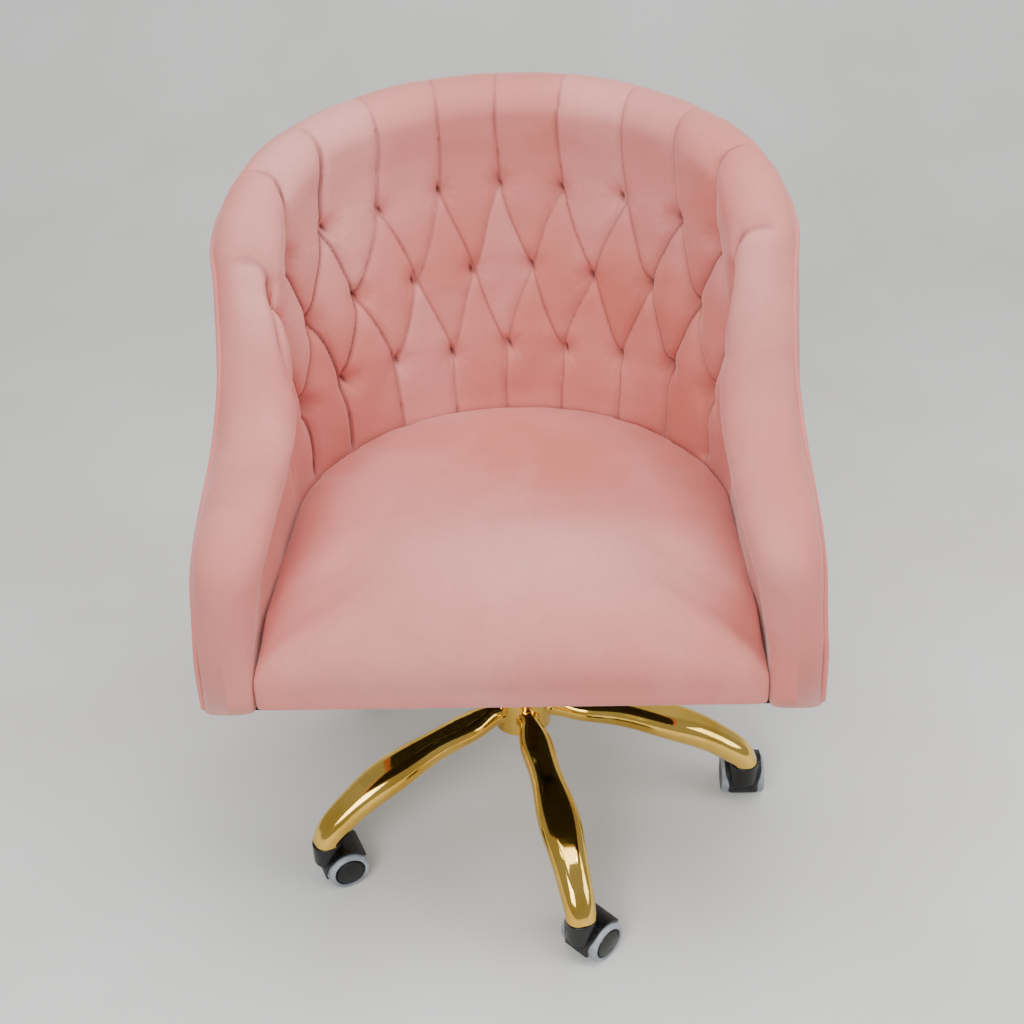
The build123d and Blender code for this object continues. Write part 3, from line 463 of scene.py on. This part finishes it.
def make_cover(material):
    """The plain outside cover: a thin closed sheet that ends at the seam."""
    columns, rows = 300, 60
    s = np.linspace(SEAM_FRONT, TOTAL - SEAM_FRONT, columns)[:, None].repeat(rows, 1)
    z = BOTTOM_Z + (seam_height(s) - BOTTOM_Z) * np.linspace(0, 1, rows)
    face, back = outer_face(s, z, COVER_PROUD), outer_face(s, z, COVER_BACK)
    soft = unevenness(face)[..., None]
    _, inward = plan_at(s)
    move = np.concatenate([-inward * soft, np.zeros_like(soft)], -1)
    points = np.concatenate([face + move, (back + move)[:, ::-1]], axis=1)
    ring = points.shape[1]
    faces = grid_faces(ring, columns, close_rows=True)
    ends = [[i * columns for i in range(ring)], [(i + 1) * columns - 1 for i in range(ring)][::-1]]
    return make_mesh(
        "outside_cover", points.transpose(1, 0, 2).reshape(-1, 3), faces + ends, material
    )


def tube_along(name, path, radius, material, sides=14):
    """A closed tube of the given radius along a line of points."""
    ahead = np.gradient(path, axis=0)
    ahead /= np.linalg.norm(ahead, axis=1)[:, None]
    across = np.cross(ahead, (0.0, 1.0, 0.0))
    for i in range(1, len(path)):                   # carried along the line without a twist
        across[i] = across[i - 1] - ahead[i] * (across[i - 1] @ ahead[i])
        across[i] /= np.linalg.norm(across[i])
    up = np.cross(across, ahead)
    angle = np.linspace(0, 2 * np.pi, sides, endpoint=False)[:, None, None]
    ring = path + radius * (np.cos(angle) * across + np.sin(angle) * up)
    count = len(path)
    faces = grid_faces(sides, count, close_rows=True)
    ends = [[i * count for i in range(sides)], [(i + 1) * count - 1 for i in range(sides)]]
    return make_mesh(name, ring.reshape(-1, 3), faces + ends, material)


def make_welt(material):
    """The piping sewn into the seam, from one arm's bottom front corner round to the other's."""
    bend = smooth_curve(SEAM_BEND, 90)
    middle = np.linspace(SEAM_BEND[-1][0], TOTAL - SEAM_BEND[-1][0], 560)[1:-1]
    s = np.concatenate([bend[:, 0], middle, TOTAL - bend[::-1, 0]])
    z = np.concatenate([bend[:, 1], rim_height(middle) - SEAM_DROP, bend[::-1, 1]])
    path = outer_face(s, np.maximum(z, BOTTOM_Z + WELT_RADIUS), WELT_PROUD)
    for _ in range(WELT_EASE):
        path[1:-1] = (path[:-2] + 2 * path[1:-1] + path[2:]) / 4
    return tube_along("welt", path, WELT_RADIUS, material)


# ---------------------------------------------------------------- seat cushion
SEAT_CROWN = 0.489              # highest point of the seat
SEAT_BELLY = 0.006              # how far its front may stand out
SEAT_CENTRE = (0.0, -0.045)
SEAT_FRONT_Y = -0.2625
SEAT_SMALLER = 0.0008           # clearance to the tub all round
SEAT_HELD_Z = 0.396             # below this the cover is stapled down
SEAT_HELD_SIDE = 0.004          # and this near the tub it is held by the arms and back
SEAT_CORNER_EASE = 22           # rounds of smoothing that soften its two front corners
SEAT_WALL_Z = 0.440             # height at which the wall gives the seat's outline
SEAT_WALL_IN, SEAT_THICK_Z = 0.035, 0.455   # where the wall's thickness there is taken
SEAT_TOP_ROLL, SEAT_FRONT_ROLL = 0.010, 0.044   # radius of the top edge, at the tub and in front
SEAT_FOOT_ROLL = 0.005          # and of the bottom edge
SEAT_LEAN = float(np.interp(SEAT_WALL_Z, LEAN_Z, LEAN_X))


def seat_gap(p, n):
    """How far in from the outer plan the seat cushion's edge is."""
    return wall_thickness(p[:, 1] + SEAT_WALL_IN * n[:, 1], SEAT_THICK_Z) + SEAT_SMALLER


def seat_outline(count):
    """The seat's outline: along the inside of the tub, and straight across the front."""
    s = np.linspace(0, TOTAL, 900)
    wall = place(s, np.full_like(s, SEAT_WALL_Z), seat_gap(*plan_at(s)))[:, :2]
    across = np.linspace(wall[-1], wall[0], 300)[1:-1]
    line = np.vstack([wall, across])
    line[:, 1] = np.maximum(line[:, 1], SEAT_FRONT_Y + SEAT_SMALLER)
    for _ in range(SEAT_CORNER_EASE):
        line = (np.roll(line, 1, 0) + 2 * line + np.roll(line, -1, 0)) / 4
    closed = np.vstack([line, line[:1]])
    run = np.concatenate([[0], np.cumsum(np.linalg.norm(np.diff(closed, axis=0), axis=1))])
    at = np.linspace(0, run[-1], count, endpoint=False)
    return np.stack([np.interp(at, run, closed[:, i]) for i in (0, 1)], 1)


def seat_top(x, y):
    """Height of the crowned top before its edge turns down."""
    side = 0.026 * np.clip(np.abs(x) / 0.245, 0, 1) ** 2.6
    back = 0.010 * np.clip((y - SEAT_CENTRE[1]) / 0.235, 0, 1) ** 2
    front = 0.022 * np.clip((SEAT_CENTRE[1] - y) / 0.215, 0, 1) ** 1.8
    return SEAT_CROWN - side - back - front


def make_seat(material):
    """The cushion as a closed body of rings, then swollen by simulation."""
    around = 320
    outline = seat_outline(around)
    centre = np.array(SEAT_CENTRE)
    spoke = outline - centre
    length = np.linalg.norm(spoke, axis=1)
    frontness = smoothstep(-outline[:, 1], 0.15, 0.25)
    turn = SEAT_TOP_ROLL + (SEAT_FRONT_ROLL - SEAT_TOP_ROLL) * frontness

    rings = []
    share = np.concatenate([np.linspace(0.02, 0.8, 26), 1 - 0.2 * np.linspace(1, 0, 22)[1:] ** 2])
    for k in share:
        point = centre + spoke * k
        t = np.clip(1 - length * (1 - k) / turn, 0, 1)
        z = seat_top(*point.T) - turn * (1 - np.sqrt(np.clip(1 - t * t, 0, 1)))
        rings.append(np.column_stack([point, z]))
    edge_top, low = rings[-1][:, 2], BOTTOM_Z + SEAT_SMALLER
    for k in np.linspace(0, 1, 16)[1:]:
        rings.append(np.column_stack([outline, edge_top + (low + SEAT_FOOT_ROLL - edge_top) * k]))
    for a in np.linspace(0, np.pi / 2, 6)[1:]:
        inset = (SEAT_FOOT_ROLL * (1 - math.cos(a)) / length)[:, None]
        z = np.full(around, low + SEAT_FOOT_ROLL * (1 - math.sin(a)))
        rings.append(np.column_stack([outline - spoke * inset, z]))
    for k in np.linspace(0.95, 0.02, 14):
        rings.append(np.column_stack([centre + spoke * k, np.full(around, low)]))

    points = np.concatenate(rings + [[[*centre, SEAT_CROWN], [*centre, low]]])
    pairs = [(j, (j + 1) % around) for j in range(around)]
    faces = [
        (i + a, i + b, i + around + b, i + around + a)
        for i in range(0, (len(rings) - 1) * around, around) for a, b in pairs
    ]
    top, last = len(rings) * around, (len(rings) - 1) * around
    faces += [(top, b, a) for a, b in pairs]
    faces += [(top + 1, last + a, last + b) for a, b in pairs]
    return make_mesh("seat_cushion", points, faces, material)


def points_of(mesh):
    """A mesh's points as an array, one row for each."""
    co = np.empty(len(mesh.vertices) * 3)
    mesh.vertices.foreach_get("co", co)
    return co.reshape(-1, 3)


def swell(obj, pressure, cap, voxel, held, frames=20, relax_rounds=24):
    """Fills a closed piece by cloth simulation. No point moves further than cap.

    held takes the piece's points and says which of them are fixed.
    """
    def apply(modifier):
        with bpy.context.temp_override(object=obj, active_object=obj):
            bpy.ops.object.modifier_apply(modifier=modifier.name)

    remesh = obj.modifiers.new("even", "REMESH")
    remesh.mode, remesh.voxel_size, remesh.use_smooth_shade = "VOXEL", voxel, True
    apply(remesh)
    before = points_of(obj.data)
    group = obj.vertex_groups.new(name="held")
    group.add(np.flatnonzero(held(before)).tolist(), 1.0, "REPLACE")
    cloth = obj.modifiers.new("fill", "CLOTH")
    cloth.settings.vertex_group_mass = group.name
    cloth.settings.use_pressure = True
    cloth.settings.uniform_pressure_force = pressure
    cloth.settings.effector_weights.gravity = 0
    cloth.settings.quality = 6
    scene = bpy.context.scene
    for number in range(1, frames + 1):
        scene.frame_set(number)
    after = points_of(obj.evaluated_get(bpy.context.evaluated_depsgraph_get()).data)
    obj.modifiers.remove(cloth)
    scene.frame_set(1)
    move = after - before
    size = np.linalg.norm(move, axis=1)
    move *= (np.minimum(size, cap) / np.maximum(size, 1e-9))[:, None]
    obj.data.vertices.foreach_set("co", (before + move).ravel())
    relax = obj.modifiers.new("relax", "SMOOTH")
    relax.vertex_group, relax.invert_vertex_group = group.name, True
    relax.factor, relax.iterations = 0.5, relax_rounds
    apply(relax)
    obj.vertex_groups.clear()
    divide = obj.modifiers.new("finer", "SUBSURF")
    divide.levels = divide.render_levels = 1
    apply(divide)
    obj.data.polygons.foreach_set("use_smooth", [True] * len(obj.data.polygons))


def wall_gap(co):
    """How far points are from the tub's inside at seat level, and the direction away from it."""
    p, n = plan_at(np.linspace(0, TOTAL, 1200))
    wall = p + n * seat_gap(p, n)[:, None]
    wall[:, 0] *= 1 + SEAT_LEAN / HALF_WIDTH
    gap, away = np.empty(len(co)), np.empty((len(co), 2))
    lot = 20000                                     # points taken at a time, to spare memory
    for start in range(0, len(co), lot):
        some = slice(start, start + lot)
        reach = co[some, None, :2] - wall[None]
        near = np.argmin((reach ** 2).sum(-1), axis=1)
        gap[some] = (reach[np.arange(len(near)), near] * n[near]).sum(-1)
        away[some] = n[near]
    return gap, away


def seat_held(co):
    """The parts of the seat cushion's cover that can't move."""
    beside = (wall_gap(co)[0] < SEAT_HELD_SIDE) & (co[:, 2] < seat_top(co[:, 0], co[:, 1]) - 0.012)
    return (co[:, 2] < SEAT_HELD_Z) | beside


def keep_within_tub(obj):
    """Keeps the swollen cushion just clear of the tub's inside, its own front and the base board."""
    co = points_of(obj.data)
    gap, away = wall_gap(co)
    co[:, :2] -= away * np.minimum(gap, 0)[:, None]
    co[:, 1] = np.maximum(co[:, 1], SEAT_FRONT_Y - SEAT_BELLY * smoothstep(co[:, 2], BOTTOM_Z, 0.42))
    co[:, 2] = np.maximum(co[:, 2], BOTTOM_Z + 0.0004)
    obj.data.vertices.foreach_set("co", co.ravel())
    obj.data.update()


def paint_seat_light_and_shade(obj):
    """Paints light and shade on the seat: painted shade in the middle of the top and painted light
    towards the front, as if its pile caught the light.
    """
    x, y, z = points_of(obj.data).T
    # painted shade on the top of the seat, and painted light towards its front
    dark = np.exp(-((x - 0.03) / 0.14) ** 2 - ((y - 0.01) / 0.085) ** 2)
    painted_light_patch = np.exp(-((x - 0.06) / 0.25) ** 2 - ((y + 0.15) / 0.075) ** 2) * smoothstep(z, 0.42, 0.46)
    layer = obj.data.attributes.new("nap", "FLOAT", "POINT")
    layer.data.foreach_set("value", (0.5 + 0.5 * dark - 0.5 * painted_light_patch).astype(np.float32))


# ---------------------------------------------------------------- materials
class Shader:
    """A material's node tree, built with short calls. Positions come from object coordinates."""

    def __init__(self, name, **sockets):
        self.material = bpy.data.materials.new(name)
        self.material.use_nodes = True
        self.tree = self.material.node_tree
        self.surface = self.tree.nodes["Principled BSDF"]
        self.place = self.add("ShaderNodeTexCoord").outputs["Object"]
        for socket, value in sockets.items():
            self.surface.inputs[socket.replace("_", " ")].default_value = value

    def add(self, kind, **settings):
        node = self.tree.nodes.new(kind)
        for key, value in settings.items():
            setattr(node, key, value)
        return node

    def put(self, target, value):
        """Links another node's output to an input, or sets the input's own value."""
        if isinstance(value, bpy.types.NodeSocket):
            self.tree.links.new(value, target)
        else:
            target.default_value = value

    def feed(self, node, **inputs):
        """Sets or links a node's inputs by name."""
        for key, value in inputs.items():
            self.put(node.inputs[key.replace("_", " ")], value)

    def stretch(self, scale, turn=(0, 0, 0)):
        """Positions scaled and turned, for grain that runs one way."""
        node = self.add("ShaderNodeMapping")
        self.feed(node, Vector=self.place, Scale=scale, Rotation=turn)
        return node.outputs["Vector"]

    def noise(self, scale, detail=4, roughness=0.55, distortion=0.0, vector=None):
        node = self.add("ShaderNodeTexNoise")
        self.feed(
            node, Vector=vector or self.place, Scale=scale, Detail=detail,
            Roughness=roughness, Distortion=distortion,
        )
        return node.outputs["Fac"]

    def cells(self, scale):
        node = self.add("ShaderNodeTexVoronoi")
        self.feed(node, Vector=self.place, Scale=scale)
        return node.outputs["Distance"]

    def remap(self, value, low, high, to_low=0.0, to_high=1.0):
        node = self.add("ShaderNodeMapRange", interpolation_type="SMOOTHSTEP")
        self.feed(node, Value=value, From_Min=low, From_Max=high, To_Min=to_low, To_Max=to_high)
        return node.outputs["Result"]

    def math(self, operation, a, b=0.0):
        node = self.add("ShaderNodeMath", operation=operation)
        for target, value in zip(node.inputs, (a, b)):
            self.put(target, value)
        return node.outputs[0]

    def mix(self, factor, a, b):
        """A blend of two colours. A colour mix has its inputs at 0, 6 and 7, and its output at 2."""
        node = self.add("ShaderNodeMix", data_type="RGBA")
        for i, value in ((0, factor), (6, a), (7, b)):
            self.put(node.inputs[i], value)
        return node.outputs[2]

    def bump(self, height, distance, strength=1.0, under=None):
        node = self.add("ShaderNodeBump")
        self.feed(node, Height=height, Distance=distance, Strength=strength)
        if under:
            self.put(node.inputs["Normal"], under)
        return node.outputs["Normal"]

    def attribute(self, name):
        return self.add("ShaderNodeAttribute", attribute_name=name).outputs["Fac"]

    def output(self, **inputs):
        """Links the surface's inputs by name, and gives the finished material."""
        self.feed(self.surface, **inputs)
        return self.material


def colour(red, green, blue):
    """A linear colour from the 0 to 255 values that a paint chart gives."""
    return tuple((c / 255) ** 2.2 for c in (red, green, blue)) + (1.0,)


def tone_of(shade, scale, lift=0.0):
    """A lighter or darker tone of a colour."""
    return tuple(min(1.0, c * scale + lift) for c in shade[:3]) + (1.0,)


def velvet(name, marked):
    """Short-pile velvet: brushed patches, flecks, fine pile and sheen.

    A marked one also follows its mesh: painted shade in the creases, and painted shade or painted light
    where its pile would catch the light differently.
    """
    m = Shader(
        name, Roughness=0.82, Sheen_Weight=0.38, Sheen_Roughness=0.40,
        Sheen_Tint=(1.0, 0.80, 0.76, 1.0), Specular_IOR_Level=0.18,
    )
    patches = m.remap(m.noise(4.2, 2, 0.45, 0.25), 0.36, 0.64)
    brushed = m.remap(m.noise(9, 3, 0.5, 0.35), 0.38, 0.70)
    flecks = m.noise(260, 3, 0.7)
    pile = m.noise(1900, 2, 0.6)
    base = m.mix(patches, colour(203, 114, 104), colour(201, 121, 115))
    # painted shade above 0.5 and painted light below it, standing in for how the pile catches the light
    if marked:
        nap = m.attribute("nap")
        base = m.mix(m.remap(nap, 0.5, 1.0, 0.0, 0.62), base, colour(194, 104, 88))
        base = m.mix(m.remap(nap, 0.5, 0.0, 0.0, 0.62), base, colour(226, 158, 153))
    base = m.mix(m.math("MULTIPLY", brushed, 0.30), base, colour(230, 157, 150))
    base = m.mix(m.remap(flecks, 0.35, 0.75, 0.0, 0.20), base, colour(184, 100, 90))
    base = m.mix(m.remap(pile, 0.30, 0.80, 0.0, 0.22), base, colour(234, 166, 156))
    # painted shade along the folds and in the tuft slits
    if marked:
        base = m.mix(m.remap(m.attribute("crease"), 0.05, 1.0, 0.0, 0.92), base, colour(84, 38, 38))
    rough = m.remap(brushed, 0.0, 1.0, 0.74, 0.90)
    soft = m.bump(m.noise(45, 4, 0.6), 0.0010, 0.5)
    hairs = m.math("ADD", m.math("MULTIPLY", flecks, 0.6), m.math("MULTIPLY", pile, 0.5))
    return m.output(Base_Color=base, Roughness=rough, Normal=m.bump(hairs, 0.0004, 0.45, soft))


def gold():
    """Gold-coloured plating: mirror bright, with faint polishing lines, haze and a few dull specks."""
    m = Shader("gold_plating_look", Metallic=1.0, Specular_IOR_Level=0.6)
    haze = m.remap(m.noise(14, 4, 0.6), 0.35, 0.70)
    lines = m.noise(70, 3, 0.6, 0.2, m.stretch((1.0, 1.0, 14.0), (0.4, 0.2, 0.0)))
    specks = m.remap(m.cells(420), 0.0, 0.10, 1.0, 0.0)
    tone = m.mix(haze, colour(234, 192, 96), colour(216, 170, 70))
    tone = m.mix(m.math("MULTIPLY", specks, 0.15), tone, colour(150, 104, 40))
    rough = m.math("ADD", m.remap(haze, 0, 1, 0.045, 0.10), m.remap(lines, 0.45, 0.75, 0.0, 0.05))
    wave = m.bump(m.noise(24, 2, 0.5), 0.0006, 0.25)
    fine = m.bump(lines, 0.00005, 0.25, wave)
    return m.output(Base_Color=tone, Roughness=rough, Normal=fine)


def moulded(name, light, dark, rough_low, rough_high, grain=900, depth=0.00012):
    """Moulded plastic or rubber: fine grain, faint flow marks and scuffed patches."""
    m = Shader(name, Specular_IOR_Level=0.45)
    scuff = m.remap(m.noise(60, 5, 0.65, 0.4), 0.45, 0.70)
    flow = m.noise(18, 2, 0.5, 0.8, m.stretch((1.0, 1.0, 2.5)))
    texture = m.cells(grain)
    tone = m.mix(m.remap(flow, 0.3, 0.7), dark, light)
    tone = m.mix(m.math("MULTIPLY", scuff, 0.25), tone, tone_of(light, 2.2, 0.01))
    rough = m.remap(scuff, 0.0, 1.0, rough_low, rough_high)
    return m.output(Base_Color=tone, Roughness=rough, Normal=m.bump(texture, depth, 0.5))


def steel(name, light, dark, metallic, rough_low, rough_high):
    """Plated or painted steel: cloudy plating, drawing lines and specks."""
    m = Shader(name, Metallic=metallic)
    cloud = m.remap(m.noise(35, 4, 0.6), 0.35, 0.68)
    lines = m.noise(90, 3, 0.6, 0.1, m.stretch((1.0, 1.0, 10.0)))
    tone = m.mix(cloud, light, dark)
    specks = m.remap(m.noise(700, 2, 0.6), 0.62, 0.72, 0.0, 0.35)
    tone = m.mix(specks, tone, tone_of(dark, 0.5))
    rough = m.remap(cloud, 0, 1, rough_low, rough_high)
    rough = m.math("ADD", rough, m.remap(lines, 0.4, 0.8, 0.0, 0.08))
    return m.output(Base_Color=tone, Roughness=rough, Normal=m.bump(lines, 0.00006, 0.4))


def plywood():
    """Birch plywood: long grain, and the plies' layers on the edges."""
    m = Shader("plywood_look", Roughness=0.62)
    plies = m.noise(6, 3, 0.5, 0.3, m.stretch((0.6, 0.6, 110.0)))
    grain = m.noise(9, 6, 0.65, 1.0, m.stretch((2.0, 26.0, 2.0)))
    tone = m.mix(m.remap(grain, 0.35, 0.70), colour(206, 168, 120), colour(168, 124, 80))
    tone = m.mix(m.remap(plies, 0.48, 0.56, 0.0, 0.5), tone, colour(120, 84, 52))
    return m.output(Base_Color=tone, Normal=m.bump(grain, 0.0003, 0.4))


def foam():
    """Cream upholstery foam with open pores."""
    m = Shader("foam_look", Roughness=0.95)
    pores = m.cells(420)
    tone = m.mix(m.remap(pores, 0.2, 0.8), colour(214, 196, 150), colour(238, 226, 188))
    return m.output(Base_Color=tone, Normal=m.bump(pores, 0.0006, 0.8))


def lining():
    """Black non-woven lining: pressed fibres and a fine pattern of bonding dots."""
    m = Shader("black_lining_look", Roughness=0.92, Sheen_Weight=0.15)
    fibres = m.noise(420, 5, 0.75, 1.5, m.stretch((1.0, 0.35, 1.0)))
    dots = m.cells(480)
    tone = m.mix(m.remap(fibres, 0.35, 0.70), colour(18, 18, 19), colour(44, 43, 44))
    height = m.math("ADD", m.math("MULTIPLY", fibres, 0.6), m.remap(dots, 0.1, 0.5))
    return m.output(Base_Color=tone, Normal=m.bump(height, 0.0003, 0.6))


LOOKS = {
    "gold_plating": gold(),
    "zinc_steel": steel(
        "zinc_steel_look", colour(196, 198, 202), colour(150, 154, 160),
        metallic=1.0, rough_low=0.24, rough_high=0.42,
    ),
    "black_steel": steel(
        "black_steel_look", colour(30, 30, 32), colour(14, 14, 15),
        metallic=0.0, rough_low=0.36, rough_high=0.52,
    ),
    "black_plastic": moulded("black_plastic_look", colour(16, 16, 17), colour(7, 7, 8), 0.32, 0.52),
    "grey_tread": moulded("grey_tread_look", colour(150, 156, 162), colour(122, 128, 134), 0.42, 0.62),
    "plywood": plywood(),
    "foam": foam(),
    "pink_velvet": velvet("velvet_plain_look", marked=False),
    "black_lining": lining(),
}
TUFTED_VELVET = velvet("velvet_tufted_look", marked=True)


# ---------------------------------------------------------------- the pieces
def dress_cad_nodes():
    """Every CAD node takes the detailed material of its slot."""
    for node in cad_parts.values():
        for slot in node.material_slots:
            name = slot.material.name.split(".")[0] if slot.material else ""
            slot.material = LOOKS.get(name, LOOKS["black_plastic"])


dress_cad_nodes()

tub = make_tub(TUFTED_VELVET)
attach(tub, "seat")
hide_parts("tufted_inner_cover", "back_foam")

cover = make_cover(LOOKS["pink_velvet"])
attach(cover, "seat")
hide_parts("outside_back_cover")

welt = make_welt(LOOKS["pink_velvet"])
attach(welt, "seat")
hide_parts("welt_piping")

seat = make_seat(TUFTED_VELVET)
swell(seat, pressure=4.0, cap=0.010, voxel=0.006, held=seat_held)
keep_within_tub(seat)
paint_seat_light_and_shade(seat)
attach(seat, "seat")
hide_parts("seat_cover", "seat_foam")


# ---------------------------------------------------------------- floor, light and camera
FLOOR_FRONT_Y, FLOOR_BACK_Y, FLOOR_HALF_WIDTH = -4.0, 1.4, 5.0
FLOOR_SINK = 0.0003             # the casters touch down just above it
BACKDROP_RADIUS, BACKDROP_TOP = 1.2, 5.0
CAMERA_PLACE = (0.0661, -1.4682, 1.4472)
CAMERA_PITCH, CAMERA_YAW, CAMERA_ROLL = 0.6015, -0.0462, 0.0443     # down, to the left, and tilted
CAMERA_LENS = 54.60             # millimetres, on a sensor 36 wide


def make_floor():
    """A plain pale studio floor that curves up behind into a backdrop."""
    radius = BACKDROP_RADIUS
    profile = [(FLOOR_FRONT_Y, 0.0), (FLOOR_BACK_Y, 0.0)]
    for a in np.linspace(-np.pi / 2, 0, 16)[1:]:
        profile.append((FLOOR_BACK_Y + radius * math.cos(a), radius + radius * math.sin(a)))
    profile.append((FLOOR_BACK_Y + radius, BACKDROP_TOP))
    sides = (-FLOOR_HALF_WIDTH, FLOOR_HALF_WIDTH)
    points = [(x, y, z - FLOOR_SINK) for y, z in profile for x in sides]
    faces = [(2 * i, 2 * i + 1, 2 * i + 3, 2 * i + 2) for i in range(len(profile) - 1)]
    m = Shader("floor_look", Roughness=0.6, Specular_IOR_Level=0.25)
    tone = m.mix(m.remap(m.noise(3, 3, 0.5), 0.3, 0.7), colour(226, 225, 222), colour(219, 217, 213))
    mesh = bpy.data.meshes.new("floor")
    mesh.from_pydata(points, [], faces)
    mesh.materials.append(m.output(Base_Color=tone, Normal=m.bump(m.noise(120, 3, 0.6), 0.0004, 0.2)))
    mesh.polygons.foreach_set("use_smooth", [True] * len(mesh.polygons))
    floor = bpy.data.objects.new("floor", mesh)
    bpy.context.scene.collection.objects.link(floor)


def soft_light(name, where, target, size, power):
    """A square area light aimed at a point."""
    data = bpy.data.lights.new(name, "AREA")
    data.size, data.energy = size, power
    lamp = bpy.data.objects.new(name, data)
    lamp.location = where
    way = np.array(target, float) - np.array(where, float)
    lamp.rotation_euler = (
        math.atan2(math.hypot(way[0], way[1]), -way[2]), 0, math.atan2(way[1], way[0]) - math.pi / 2
    )
    bpy.context.scene.collection.objects.link(lamp)


def make_world():
    """Even, faintly cool light from all round."""
    world = bpy.data.worlds.new("studio")
    world.use_nodes = True
    background = world.node_tree.nodes["Background"]
    background.inputs["Color"].default_value = (0.93, 0.96, 1.0, 1.0)
    background.inputs["Strength"].default_value = 0.45
    bpy.context.scene.world = world


def make_camera():
    """The camera stands a little over a metre in front, looking down at the seat."""
    pitch, yaw, roll = CAMERA_PITCH, CAMERA_YAW, CAMERA_ROLL
    forward = np.array([
        math.sin(yaw) * math.cos(pitch), math.cos(yaw) * math.cos(pitch), -math.sin(pitch),
    ])
    right = np.array([math.cos(yaw), -math.sin(yaw), 0.0])
    down = np.cross(forward, right)
    right, down = (
        math.cos(roll) * right + math.sin(roll) * down,
        -math.sin(roll) * right + math.cos(roll) * down,
    )
    data = bpy.data.cameras.new("camera")
    data.sensor_width, data.lens = 36.0, CAMERA_LENS
    data.clip_start, data.clip_end = 0.05, 50.0
    camera = bpy.data.objects.new("camera", data)
    axes = np.eye(4)
    axes[:3, 0], axes[:3, 1], axes[:3, 2] = right, -down, -forward
    axes[:3, 3] = CAMERA_PLACE
    camera.matrix_world = Matrix(axes.tolist())
    bpy.context.scene.collection.objects.link(camera)
    bpy.context.scene.camera = camera


make_floor()
make_world()
soft_light("overhead", (0.2, -0.3, 2.7), (0, 0, 0.5), 1.8, 55)
soft_light("front_key", (-0.7, -2.5, 2.1), (0, 0, 0.45), 1.5, 58)
soft_light("right_fill", (2.3, -0.9, 1.5), (0, 0, 0.5), 1.4, 26)
soft_light("left_glint", (-0.9, -1.2, 2.6), (0, 0, 0.1), 0.16, 2.6)
soft_light("right_glint", (1.1, -0.9, 2.7), (0, 0, 0.1), 0.14, 2.2)
make_camera()
